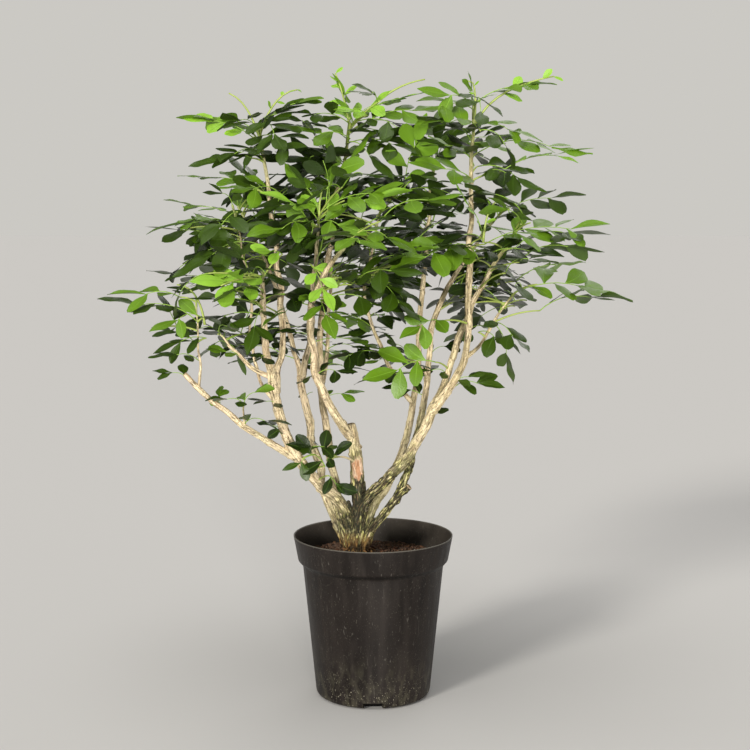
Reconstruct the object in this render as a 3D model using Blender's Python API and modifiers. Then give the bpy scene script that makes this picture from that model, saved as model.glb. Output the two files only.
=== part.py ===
"""Orange jasmine shrub in a black nursery pot.

Metres, +Z up. The origin is the centre of the pot's flat underside, and -Y is the plant's front.
"""

import math
from typing import NamedTuple

import bmesh
import bpy
import numpy as np

# A gap that keeps solids which touch in life from sharing a face, and the distances within which
# corners count as one
GAP = 0.0003
WELD = 1e-7
TURN_WELD = 1e-5

# Edges sharper than this stay sharp in the shading
SHARP_ANGLE = math.radians(40)

# Nursery pot
POT_HEIGHT = 0.172
RIM_RADIUS = 0.0845
BAND_HEIGHT = 0.026
BAND_FOOT_RADIUS = 0.0797
STEP_DROP = 0.0055
BODY_TOP_RADIUS = 0.0748
BASE_RADIUS = 0.0608
BASE_ROUNDING = 0.006
WALL = 0.0016
FLOOR = 0.0022
TURN_STEPS = 42
SLOT_COUNT = 3
SLOT_WIDTH = 0.0215
SLOT_HEIGHT = 0.0053
SLOT_DEPTH = 0.011

# Potting soil
SOIL_LEVEL = 0.146
SOIL_EDGE_DROP = 0.006
SOIL_PLATEAU_RADIUS = 0.046

# Trunk
TRUNK_AXIS = (-0.018, 0.0)
CORE_WIDTHS = (0.027, 0.021, 0.027, 0.024)
CORE_HEIGHTS = (0.0, 0.006, 0.024, 0.046)
CORE_SIDES = 12
ARM_ROOT_RADIUS = 0.0052
ARM_ROOT_RISE = 0.008
ARM_BEND_SHARE = 0.4
SURFACE_ROOTS = 5
FIRST_ROOT_BEARING = math.radians(-70)
ROOT_REACH = 0.019
ROOT_WIDTHS = (0.008, 0.0040)
ROOT_RISE = 0.006

# Limbs, stems and twigs. Where two limbs meet end to end, their ends run straight. A seat is cut this
# many gaps wider than its limb, because the sides of a limb lie nearer its axis than its corners do.
LIMB_SIDES = 8
LIMB_SPANS = 4
STRAIGHT_END = 0.0025
SEAT_GAPS = 2.6
STEM_SIDES = 5
STEM_SPANS = 6
STEM_OUT = 0.25
STEM_UP = 0.5
STEM_TOP_WIDTH = 0.0022
TWIG_SIDES = 3
TWIG_FOOT_WIDTH = 0.0028
TWIG_TOP_WIDTH = 0.0019
TWIG_ARCH = 0.06

# Compound leaves. A real leaflet is about 33 mm long; these are larger, because they are fewer. A leaf
# shorter than a long leaf has one leaflet less at its sides, and a leaf that keeps too few is left out.
LEAF_REACH = 0.108
LONG_LEAF = 0.070
SHORTEST_LEAF = 0.052
LEAF_FOOT_WIDTH = 0.0021
LEAF_TOP_WIDTH = 0.0013
LEAF_ARCH = 0.05
LEAF_ROLLS = (math.radians(24), math.radians(60))
SIDE_LEAFLETS = 4
FEWEST_LEAFLETS = 3
FIRST_LEAFLET = 0.28
LAST_LEAFLET = 0.90
FIRST_LEAFLET_SCALE = 0.66
SHORT_LEAF_SCALE = 0.30
LEAFLET_LENGTH = 0.062
LEAFLET_SLENDERNESS = 0.62
LEAFLET_THICKNESS = 0.0018
LEAFLET_WIDEST = 0.56
LEAFLET_THICKEST = 0.40
LEAFLET_SPREAD = math.radians(58)
LEAFLET_JITTER = math.radians(8)
LEAFLET_DROOP = 0.14
LEAFLET_SINK = 0.0010

# Bounds of the crown
CROWN_LOW = (-0.278, -0.186, 0.220)
CROWN_HIGH = (0.265, 0.200, 0.657)

# Growth rule of a mass. Twigs and leaves stand on the stem above its lowest shoot, a spacing apart, and
# keep clear of other limbs and of other leaflets.
GOLDEN_ANGLE = math.radians(137.5)
BEARING_JITTER = 0.3
LOWEST_SHOOT = 0.3
SHOOT_RISE = 0.3
FILL_RISES = (-0.15, 0.6)
FILL_TRIES = 24
NODE_SPACING = 0.006
PLACES_TRIED = 8
LEAF_MIDDLE_SHARE = 0.65
SHOOT_CHOICES = 30
SPACE_MARGIN = 0.0006
LIMB_CLEARANCE = 0.0030
LEAFLET_CLEARANCE = 0.0035
OBSTACLE_POINTS = 60
TWIG_SAMPLES = np.linspace(0.1, 1, 12)
LEAFLET_SAMPLE_SHARES = np.linspace(0.08, 1, 8)
LEAFLET_SAMPLE_SIDES = np.linspace(-0.5, 0.5, 5)
LEAF_LENGTHS_TRIED = 5
FAR_AWAY = (10.0, 10.0, 10.0)


class Limb(NamedTuple):
    """One tapering limb, by its tip and by the limb it grows from.

    share is how far up the carrying limb its foot stands. It sweeps outward before it rises: the point it
    bends towards lies at the shares out and up of the way from its foot to its tip.
    """

    seat: str
    share: float
    tip: tuple
    out: float
    up: float
    foot_width: float
    tip_width: float


class Arm(NamedTuple):
    """One arm of the trunk: its bearing at the soil, in degrees from +X, and where its bough starts."""

    bearing: float
    end: tuple


class Mass(NamedTuple):
    """One mass of foliage, by the limb its stem stands on, the stem's top and its furthest leaf tips.

    share is how far up the limb the stem stands, and 1 is the limb's own tip. leaves is how many leaves the
    growth rule adds to those that reach the tips.
    """

    limb: str
    share: float
    top: tuple
    tips: tuple
    leaves: int


ARMS = {
    "left_leader": Arm(190, (-0.050, -0.006, 0.222)),
    "mid_left_stem": Arm(150, (-0.051, 0.010, 0.218)),
    "mid_back_stem": Arm(95, (-0.041, 0.022, 0.222)),
    "centre_stub": Arm(260, (-0.015, -0.003, 0.220)),
    "right_leader": Arm(300, (0.003, -0.011, 0.222)),
    "low_right_stub": Arm(335, (-0.001, -0.010, 0.178)),
    "back_right_stem": Arm(20, (0.008, 0.004, 0.215)),
}

LIMBS = {
    "left_leader": Limb("trunk", 1, (-0.103, -0.020, 0.331), 0.80, 0.28, 0.0132, 0.0108),
    "mid_left_stem": Limb("trunk", 1, (-0.078, 0.025, 0.338), 0.75, 0.58, 0.0100, 0.0090),
    "mid_back_stem": Limb("trunk", 1, (-0.058, 0.048, 0.373), 0.95, 0.44, 0.0090, 0.0070),
    "centre_stub": Limb("trunk", 1, (-0.024, -0.006, 0.289), 0.25, 0.60, 0.0138, 0.0112),
    "right_leader": Limb("trunk", 1, (0.062, -0.024, 0.311), 0.66, 0.38, 0.0132, 0.0112),
    "low_right_stub": Limb("trunk", 1, (0.037, -0.024, 0.227), 0.46, 0.56, 0.0100, 0.0085),
    "back_right_stem": Limb("trunk", 1, (0.050, 0.060, 0.380), 0.98, 0.28, 0.0090, 0.0062),
    "left_outer_bough": Limb("left_leader", 0.97, (-0.112, -0.034, 0.407), 0.85, 0.50, 0.0088, 0.0066),
    "left_inner_bough": Limb("left_leader", 0.95, (-0.094, -0.008, 0.391), 0.80, 0.50, 0.0082, 0.0070),
    "low_left_bough": Limb("left_leader", 0.37, (-0.194, -0.028, 0.346), 0.52, 0.33, 0.0072, 0.0060),
    "left_side_branch": Limb("left_outer_bough", 0.20, (-0.151, -0.010, 0.375), 0.50, 0.25, 0.0050, 0.0034),
    "left_thin_branch": Limb("left_leader", 0.88, (-0.127, -0.004, 0.408), 1.35, 0.36, 0.0036, 0.0028),
    "mid_left_fork": Limb("mid_left_stem", 0.97, (-0.066, 0.022, 0.387), 0.65, 0.53, 0.0074, 0.0062),
    "mid_left_stub": Limb("mid_left_stem", 0.97, (-0.086, 0.040, 0.366), 0.65, 0.55, 0.0066, 0.0056),
    "mid_back_fork": Limb("mid_back_stem", 0.70, (-0.050, 0.086, 0.386), 0.70, 0.38, 0.0056, 0.0044),
    "centre_branch": Limb("centre_stub", 0.82, (-0.063, -0.045, 0.418), 1.16, 0.42, 0.0092, 0.0072),
    "right_inner_stub": Limb("right_leader", 0.95, (0.083, -0.010, 0.361), 0.62, 0.53, 0.0086, 0.0076),
    "right_outer_bough": Limb("right_leader", 0.96, (0.098, -0.040, 0.395), 0.92, 0.38, 0.0092, 0.0072),
    "right_side_twig": Limb("right_outer_bough", 0.68, (0.122, -0.030, 0.396), 0.60, 0.40, 0.0042, 0.0032),
    "right_back_stem": Limb("low_right_stub", 0.66, (0.062, 0.032, 0.388), 0.90, 0.37, 0.0084, 0.0064),
    "inner_cross_twig": Limb("back_right_stem", 0.59, (-0.009, -0.014, 0.426), 0.70, 0.45, 0.0048, 0.0034),
}

MASSES = {
    "far_left_leaves": Mass("low_left_bough", 0.86, (-0.180, -0.036, 0.424), (
        (-0.277, -0.045, 0.431), (-0.224, -0.060, 0.376), (-0.236, 0.025, 0.397)), 2),
    "left_mid_leaves": Mass("left_thin_branch", 1, (-0.141, -0.050, 0.519), (
        (-0.228, -0.045, 0.504), (-0.233, -0.010, 0.460), (-0.160, -0.075, 0.545)), 3),
    "left_top_leaves": Mass("left_inner_bough", 1, (-0.119, 0.005, 0.599), (
        (-0.201, 0.000, 0.615), (-0.203, 0.025, 0.559), (-0.082, 0.010, 0.632), (-0.147, -0.060, 0.615)), 3),
    "front_low_left_leaves": Mass("left_outer_bough", 1, (-0.107, -0.106, 0.454), (
        (-0.177, -0.110, 0.435), (-0.136, -0.180, 0.448), (-0.125, -0.100, 0.383)), 2),
    "front_left_leaves": Mass("mid_left_fork", 1, (-0.053, -0.070, 0.510), (
        (0.030, -0.100, 0.542), (-0.078, -0.080, 0.562), (-0.110, -0.150, 0.530), (-0.040, -0.180, 0.500)), 3),
    "centre_top_leaves": Mass("mid_back_stem", 1, (-0.024, 0.020, 0.603), (
        (-0.037, 0.010, 0.656), (0.054, 0.020, 0.648), (-0.108, 0.040, 0.612), (0.045, -0.050, 0.600)), 4),
    "centre_front_leaves": Mass("centre_branch", 1, (-0.022, -0.108, 0.486), (
        (-0.036, -0.120, 0.400), (0.040, -0.165, 0.465), (0.035, -0.110, 0.420)), 3),
    "top_right_leaves": Mass("right_outer_bough", 1, (0.102, -0.020, 0.621), (
        (0.182, -0.030, 0.650), (0.222, -0.025, 0.582), (0.098, -0.020, 0.654), (0.045, -0.085, 0.590)), 4),
    "right_mid_leaves": Mass("right_inner_stub", 1, (0.150, -0.038, 0.500), (
        (0.235, -0.050, 0.503), (0.226, -0.090, 0.490), (0.060, -0.130, 0.490), (0.165, -0.160, 0.480)), 3),
    "right_low_leaves": Mass("right_side_twig", 1, (0.146, -0.022, 0.430), (
        (0.264, -0.020, 0.435), (0.155, -0.085, 0.378), (0.150, -0.020, 0.338)), 3),
    "back_right_leaves": Mass("back_right_stem", 1, (0.069, 0.095, 0.571), (
        (0.074, 0.110, 0.632), (0.150, 0.130, 0.600), (0.010, 0.165, 0.560), (0.090, 0.195, 0.530)), 3),
    "right_back_leaves": Mass("right_back_stem", 1, (0.142, 0.100, 0.512), (
        (0.232, 0.090, 0.540), (0.238, 0.130, 0.465), (0.140, 0.190, 0.450)), 4),
    "inner_leaves": Mass("inner_cross_twig", 1, (0.010, -0.012, 0.520), (
        (0.065, -0.030, 0.540), (0.030, 0.060, 0.500), (0.060, 0.010, 0.455)), 2),
    "back_left_leaves": Mass("mid_left_stub", 1, (-0.151, 0.110, 0.520), (
        (-0.230, 0.095, 0.530), (-0.222, 0.130, 0.445), (-0.139, 0.120, 0.590)), 4),
    "back_centre_leaves": Mass("mid_back_fork", 1, (-0.045, 0.140, 0.520), (
        (-0.049, 0.145, 0.600), (-0.090, 0.195, 0.470), (0.030, 0.190, 0.480)), 4),
    "left_side_leaves": Mass("left_side_branch", 1, (-0.162, -0.004, 0.386), (
        (-0.190, 0.034, 0.364), (-0.134, 0.016, 0.345)), 0),
    "basal_leaves": Mass("centre_stub", 0.40, (-0.042, -0.034, 0.262), (
        (-0.088, -0.048, 0.284), (0.004, -0.060, 0.272)), 0),
    "low_bough_leaves": Mass("low_left_bough", 0.44, (-0.133, -0.036, 0.316), (
        (-0.106, -0.052, 0.345), (-0.086, -0.050, 0.305), (-0.168, -0.056, 0.330)), 0),
    "under_right_leaves": Mass("right_back_stem", 0.72, (0.036, -0.002, 0.364), (
        (-0.018, -0.034, 0.345), (0.010, 0.006, 0.388)), 0),
}

MATERIALS = {
    "pot_plastic": ((0.022, 0.022, 0.021), 0.55),
    "soil": ((0.045, 0.022, 0.012), 0.95),
    "bark": ((0.45, 0.36, 0.21), 0.80),
    "leaf_green": ((0.060, 0.190, 0.030), 0.40),
}


def unit(vector):
    """The vector at a length of 1."""
    return np.asarray(vector, float) / np.linalg.norm(vector)


def arc(foot, bend, tip, spans):
    """Points along the curve that leaves the foot towards the bend and reaches the tip."""
    t = np.linspace(0, 1, spans + 1)[:, None]
    return (1 - t) ** 2 * np.array(foot) + 2 * t * (1 - t) * np.array(bend) + t**2 * np.array(tip)


def on_line(points, shares):
    """The places at these shares of the length of a line of points."""
    lengths = np.linalg.norm(np.diff(points, axis=0), axis=1)
    travelled = np.concatenate(([0], np.cumsum(lengths)))
    wanted = np.asarray(shares) * travelled[-1]
    return np.stack([np.interp(wanted, travelled, points[:, axis]) for axis in range(3)], axis=-1)


def bend_between(foot, tip, out, up):
    """The point that lies this share of the way outward and this share of the way up."""
    return foot + (np.array(tip) - foot) * (out, out, up)


def limb_line(name):
    """The points a limb is built along, and its width at each."""
    limb = LIMBS[name]
    if limb.seat == "trunk":
        foot = np.array(ARMS[name].end)
    else:
        foot = on_line(limb_line(limb.seat)[0], limb.share)
    bend = bend_between(foot, limb.tip, limb.out, limb.up)
    points = arc(foot, bend, limb.tip, LIMB_SPANS)
    widths = np.linspace(limb.foot_width, limb.tip_width, LIMB_SPANS + 1)
    if limb.seat == "trunk":
        heading = unit(bend - foot)
        straight_start = (foot + heading * GAP, foot + heading * STRAIGHT_END)
        points = np.concatenate((straight_start, points[1:]))
        widths = np.concatenate((widths[:1], widths))
    return points, widths


def arm_line(name):
    """The points an arm of the trunk is built along, and its width at each."""
    limb = LIMBS[name]
    end = np.array(ARMS[name].end)
    root = trunk_point(math.radians(ARMS[name].bearing), ARM_ROOT_RADIUS, ARM_ROOT_RISE)
    heading = unit(bend_between(end, limb.tip, limb.out, limb.up) - end)
    bend = end - heading * np.linalg.norm(end - root) * ARM_BEND_SHARE
    points = arc(root, bend, end - heading * STRAIGHT_END, LIMB_SPANS)
    return np.concatenate((points, (end,))), np.full(LIMB_SPANS + 2, limb.foot_width)


def stem_line(mass):
    """The points a mass's stem is built along, and its width at each.

    It stands a gap clear of its limb's tip, or starts on the limb's axis, to be cut back later.
    """
    points, widths = limb_line(mass.limb)
    foot = on_line(points, mass.share)
    foot_width = TWIG_FOOT_WIDTH
    if mass.share == 1:
        foot_width = widths[-1]
        along = unit(points[-1] - points[-2])
        start = arc(foot, bend_between(foot, mass.top, STEM_OUT, STEM_UP), mass.top, STEM_SPANS)
        turn = np.linalg.norm(np.cross(along, unit(start[1] - start[0])))
        foot = foot + along * (GAP + foot_width / 2 * turn)
    bend = bend_between(foot, mass.top, STEM_OUT, STEM_UP)
    return arc(foot, bend, mass.top, STEM_SPANS), np.linspace(foot_width, STEM_TOP_WIDTH, STEM_SPANS + 1)


def trunk_point(bearing, distance, rise):
    """A point on a bearing round the trunk's axis, this far out and this high over the soil."""
    outward = np.array((math.cos(bearing), math.sin(bearing), 0)) * distance
    return outward + (*TRUNK_AXIS, SOIL_LEVEL + GAP + rise)


def clear_scene():
    """Removes what the file holds, so that only the plant is left."""
    for thing in list(bpy.data.objects):
        bpy.data.objects.remove(thing)


def make_material(name, colour, roughness):
    material = bpy.data.materials.new(name)
    material.use_nodes = True
    shader = material.node_tree.nodes["Principled BSDF"]
    shader.inputs["Base Color"].default_value = (*colour, 1)
    shader.inputs["Roughness"].default_value = roughness
    shader.inputs["Metallic"].default_value = 0.0
    return material


def make_collection(name):
    collection = bpy.data.collections.new(name)
    bpy.context.scene.collection.children.link(collection)
    return collection


def make_outline(sides, collection):
    """A closed outline of radius 1 that limbs of this many sides are drawn with."""
    curve = bpy.data.curves.new(f"outline_{sides}", "CURVE")
    curve.dimensions = "2D"
    spline = curve.splines.new("POLY")
    spline.points.add(sides - 1)
    for point, angle in zip(spline.points, np.arange(sides) * math.tau / sides):
        point.co = (math.cos(angle), math.sin(angle), 0, 1)
    spline.use_cyclic_u = True
    outline = bpy.data.objects.new(curve.name, curve)
    outline.hide_render = True
    outline.display_type = "WIRE"
    collection.objects.link(outline)
    return outline


def evaluated_mesh(thing):
    """The object's mesh with its modifiers or bevel applied, welded, and of triangles turned outward."""
    graph = bpy.context.evaluated_depsgraph_get()
    mesh = bpy.data.meshes.new_from_object(thing.evaluated_get(graph))
    shape = bmesh.new()
    shape.from_mesh(mesh)
    bmesh.ops.remove_doubles(shape, verts=shape.verts, dist=WELD)
    bmesh.ops.recalc_face_normals(shape, faces=shape.faces)
    bmesh.ops.triangulate(shape, faces=shape.faces)
    shape.to_mesh(mesh)
    shape.free()
    return mesh


def swept(name, points, widths, sides, collection):
    """A tapering solid of this many sides along the points, with closed ends."""
    curve = bpy.data.curves.new(name, "CURVE")
    curve.dimensions = "3D"
    curve.bevel_mode = "OBJECT"
    curve.bevel_object = bpy.data.objects[f"outline_{sides}"]
    curve.use_fill_caps = True
    spline = curve.splines.new("POLY")
    spline.points.add(len(points) - 1)
    for point, place, width in zip(spline.points, points, widths):
        point.co = (*place, 1)
        point.radius = width / 2
    line = bpy.data.objects.new(name + "_line", curve)
    collection.objects.link(line)
    solid = bpy.data.objects.new(name, evaluated_mesh(line))
    bpy.data.objects.remove(line)
    collection.objects.link(solid)
    return solid


def turned(name, profile, collection):
    """A profile of (radius, height) points turned round the pot's axis."""
    mesh = bpy.data.meshes.new(name)
    points = [(radius, 0, height) for radius, height in profile]
    mesh.from_pydata(points, [(i, i + 1) for i in range(len(points) - 1)], [])
    solid = bpy.data.objects.new(name, mesh)
    collection.objects.link(solid)
    screw = solid.modifiers.new("turn", "SCREW")
    screw.steps = screw.render_steps = TURN_STEPS
    screw.use_merge_vertices = True
    screw.merge_threshold = TURN_WELD
    return solid


def keep_largest_shell(mesh):
    """Drops loose scraps, and fills sealed hollows by dropping their inner shells."""
    shape = bmesh.new()
    shape.from_mesh(mesh)
    unseen = set(shape.faces)
    shells = []
    while unseen:
        frontier = [unseen.pop()]
        shell = set(frontier)
        while frontier:
            found = {other for edge in frontier.pop().edges for other in edge.link_faces} & unseen
            unseen -= found
            shell |= found
            frontier.extend(found)
        shells.append(shell)
    largest = max(shells, key=len)
    scraps = [face for face in shape.faces if face not in largest]
    bmesh.ops.delete(shape, geom=scraps, context="FACES")
    shape.to_mesh(mesh)
    shape.free()


def apply_boolean(solid, operation, solver, others):
    """Joins the others to the solid, or cuts them from it, and removes them."""
    tools = make_collection(solid.name + "_tools")
    for other in others:
        for collection in other.users_collection:
            collection.objects.unlink(other)
        tools.objects.link(other)
    change = solid.modifiers.new("change", "BOOLEAN")
    change.operation = operation
    change.operand_type = "COLLECTION"
    change.collection = tools
    change.solver = solver
    mesh = evaluated_mesh(solid)
    solid.modifiers.clear()
    solid.data = mesh
    keep_largest_shell(solid.data)
    for other in list(tools.objects):
        bpy.data.objects.remove(other)
    bpy.data.collections.remove(tools)


def finish(solid, material):
    """Gives a solid its material and shades its round faces smooth."""
    solid.data.materials.clear()
    solid.data.materials.append(material)
    solid.data.shade_smooth()
    solid.data.set_sharp_from_angle(angle=SHARP_ANGLE)


def body_radius(height):
    """The pot body's outer radius at a height below its step."""
    top = POT_HEIGHT - BAND_HEIGHT - STEP_DROP
    return BASE_RADIUS + (BODY_TOP_RADIUS - BASE_RADIUS) * height / top


def make_pot(collection):
    """The pot: a tapered body under a wider rim band, with drain slots cut round its foot."""
    band_foot = POT_HEIGHT - BAND_HEIGHT
    body_top = band_foot - STEP_DROP
    rounding = [
        (
            body_radius(BASE_ROUNDING) - BASE_ROUNDING * (1 - math.cos(angle)),
            BASE_ROUNDING * (1 - math.sin(angle)),
        )
        for angle in np.radians((0, 45, 90))
    ]
    profile = [
        (0, FLOOR),
        (body_radius(FLOOR) - WALL - BASE_ROUNDING / 2, FLOOR),
        (body_radius(BASE_ROUNDING) - WALL, FLOOR + BASE_ROUNDING / 2),
        (BODY_TOP_RADIUS - WALL, body_top),
        (BAND_FOOT_RADIUS - WALL, band_foot),
        (RIM_RADIUS - WALL, POT_HEIGHT),
        (RIM_RADIUS, POT_HEIGHT),
        (BAND_FOOT_RADIUS, band_foot),
        (BODY_TOP_RADIUS, body_top),
        *rounding,
        (0, 0),
    ]
    pot = turned("pot", profile, collection)
    cutters = []
    for bearing in np.arange(SLOT_COUNT) * math.tau / SLOT_COUNT - math.pi / 2:
        bpy.ops.mesh.primitive_cube_add(size=1)
        cutter = bpy.context.object
        cutter.scale = (2 * SLOT_DEPTH, SLOT_WIDTH, 2 * SLOT_HEIGHT)
        cutter.rotation_euler.z = bearing
        cutter.location = (BASE_RADIUS * math.cos(bearing), BASE_RADIUS * math.sin(bearing), 0)
        cutter.hide_render = True
        cutter.display_type = "WIRE"
        cutters.append(cutter)
    apply_boolean(pot, "DIFFERENCE", "EXACT", cutters)
    return pot


def make_soil(collection):
    """The soil: it fills the pot to a low mound, a gap clear of the wall and the floor."""
    edge_level = SOIL_LEVEL - SOIL_EDGE_DROP
    inner = WALL + GAP
    profile = [
        (0, SOIL_LEVEL),
        (SOIL_PLATEAU_RADIUS, SOIL_LEVEL),
        (body_radius(edge_level) - inner, edge_level),
        (body_radius(BASE_ROUNDING) - inner, FLOOR + BASE_ROUNDING / 2 + GAP),
        (body_radius(FLOOR) - inner - BASE_ROUNDING / 2, FLOOR + GAP),
        (0, FLOOR + GAP),
    ]
    return turned("soil", profile, collection)


def make_trunk(collection, tools):
    """The trunk: a flared core on the soil, with one arm rising to the foot of each bough it carries."""
    core_line = [trunk_point(0, 0, rise) for rise in CORE_HEIGHTS]
    trunk = swept("trunk", core_line, CORE_WIDTHS, CORE_SIDES, collection)
    pieces = [swept(name + "_arm", *arm_line(name), LIMB_SIDES, tools) for name in ARMS]
    for bearing in np.arange(SURFACE_ROOTS) * math.tau / SURFACE_ROOTS + FIRST_ROOT_BEARING:
        ends = (trunk_point(bearing, 0, ROOT_RISE), trunk_point(bearing, ROOT_REACH, ROOT_WIDTHS[1] / 2))
        pieces.append(swept("surface_root", ends, ROOT_WIDTHS, LIMB_SIDES, tools))
    apply_boolean(trunk, "UNION", "EXACT", pieces)
    return trunk


def fattened(name, tools):
    """A copy of a limb that is a gap larger all over, to cut a seat with."""
    points, widths = limb_line(name)
    points[-1] = points[-1] + unit(points[-1] - points[-2]) * GAP
    return swept(name + "_seat", points, widths + SEAT_GAPS * GAP, LIMB_SIDES, tools)


def make_limb(name, collection, tools):
    """One limb. Where it grows out of another, it is cut to sit a gap clear of it and of its sisters."""
    limb = swept(name, *limb_line(name), LIMB_SIDES, collection)
    seat = LIMBS[name].seat
    if seat != "trunk":
        earlier = list(LIMBS)[: list(LIMBS).index(name)]
        sisters = [other for other in earlier if LIMBS[other].seat == seat]
        apply_boolean(limb, "DIFFERENCE", "EXACT", [fattened(other, tools) for other in (seat, *sisters)])
    return limb


def middle_of(mass):
    """The middle of a mass's space."""
    return np.mean((mass.top, *mass.tips), axis=0)


def inside_space(name, points):
    """Whether all points are in the crown, and nearer to this mass's middle than to any other mass's."""
    if (points < CROWN_LOW).any() or (points > CROWN_HIGH).any():
        return False
    own = middle_of(MASSES[name])
    for other_name, other in MASSES.items():
        if other_name == name:
            continue
        away = middle_of(other) - own
        distance = (points - own - away / 2) @ unit(away)
        if distance.max() > -SPACE_MARGIN:
            return False
    return True


def obstacles_of(name):
    """Points and radii along the trunk's arms, every limb, and every stem but this mass's own."""
    lines = [arm_line(arm) for arm in ARMS]
    lines += [limb_line(limb) for limb in LIMBS]
    lines += [stem_line(mass) for other, mass in MASSES.items() if other != name]
    shares = np.linspace(0, 1, OBSTACLE_POINTS)
    places = np.concatenate([on_line(points, shares) for points, _ in lines])
    radii = np.concatenate([np.linspace(widths[0], widths[-1], OBSTACLE_POINTS) / 2 for _, widths in lines])
    return places, radii


def leaflet_frame(along, normal):
    """The leaflet's three directions: along it, across it and out of its upper face."""
    along = unit(along)
    across = unit(np.cross(normal, along))
    return np.array((along, across, np.cross(along, across)))


def leaflet_samples(base, frame, length):
    """Points spread over a leaflet's face."""
    share, side = np.meshgrid(LEAFLET_SAMPLE_SHARES, LEAFLET_SAMPLE_SIDES)
    half_width = side * np.sin(math.pi * share) * LEAFLET_SLENDERNESS
    flat = np.stack((share, half_width, -LEAFLET_DROOP * share**2), axis=2)
    return base + flat.reshape(-1, 3) @ frame * length


def make_leaflet(base, frame, length, collection):
    """A leaflet: a low ridge over a four-cornered blade, widest past its middle, that droops to its tip."""
    shape = bmesh.new()
    bmesh.ops.create_cone(shape, cap_ends=True, segments=4, radius1=0.5, radius2=0, depth=1)
    for corner in shape.verts:
        is_ridge = corner.co.z > 0
        share = corner.co.x + 0.5
        if is_ridge:
            share = LEAFLET_THICKEST
        elif abs(corner.co.y) > abs(corner.co.x):
            share = LEAFLET_WIDEST
        side = corner.co.y * LEAFLET_SLENDERNESS
        lift = LEAFLET_THICKNESS / length * is_ridge - LEAFLET_DROOP * share**2
        corner.co = base + (np.array((share, side, lift)) @ frame) * length
    bmesh.ops.triangulate(shape, faces=shape.faces)
    mesh = bpy.data.meshes.new("leaflet")
    shape.to_mesh(mesh)
    shape.free()
    leaflet = bpy.data.objects.new("leaflet", mesh)
    collection.objects.link(leaflet)
    return leaflet


def leaf_plan(base, tip, rng):
    """A compound leaf from base to tip: its stalk's points, and each leaflet's foot, frame and length."""
    heading = unit(tip - base)
    level = unit(np.cross(heading, (0, 0, 1)))
    upward = np.cross(level, heading)
    reach = np.linalg.norm(tip - base)
    terminal = LEAFLET_LENGTH * (SHORT_LEAF_SCALE + (1 - SHORT_LEAF_SCALE) * min(1, reach / LEAF_REACH))
    stalk_tip = tip - heading * terminal
    middle = (base + stalk_tip) / 2 + upward * LEAF_ARCH * reach
    stalk = np.array((base, middle, stalk_tip))
    roll = rng.choice((-1, 1)) * rng.uniform(*LEAF_ROLLS)
    normal = upward * math.cos(roll) + level * math.sin(roll)
    across = np.cross(normal, heading)
    count = SIDE_LEAFLETS if reach > LONG_LEAF else SIDE_LEAFLETS - 1
    leaflets = []
    for i, share in enumerate(np.linspace(FIRST_LEAFLET, LAST_LEAFLET, count)):
        side = 1 if i % 2 else -1
        spread = LEAFLET_SPREAD + rng.uniform(-LEAFLET_JITTER, LEAFLET_JITTER)
        direction = heading * math.cos(spread) + across * side * math.sin(spread)
        length = terminal * (FIRST_LEAFLET_SCALE + (1 - FIRST_LEAFLET_SCALE) * share)
        foot = on_line(stalk, share) - direction * LEAFLET_SINK
        leaflets.append((foot, leaflet_frame(direction, normal), length))
    last = unit(tip - stalk_tip)
    leaflets.append((stalk_tip - last * LEAFLET_SINK, leaflet_frame(last, normal), terminal))
    return stalk, leaflets


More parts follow.
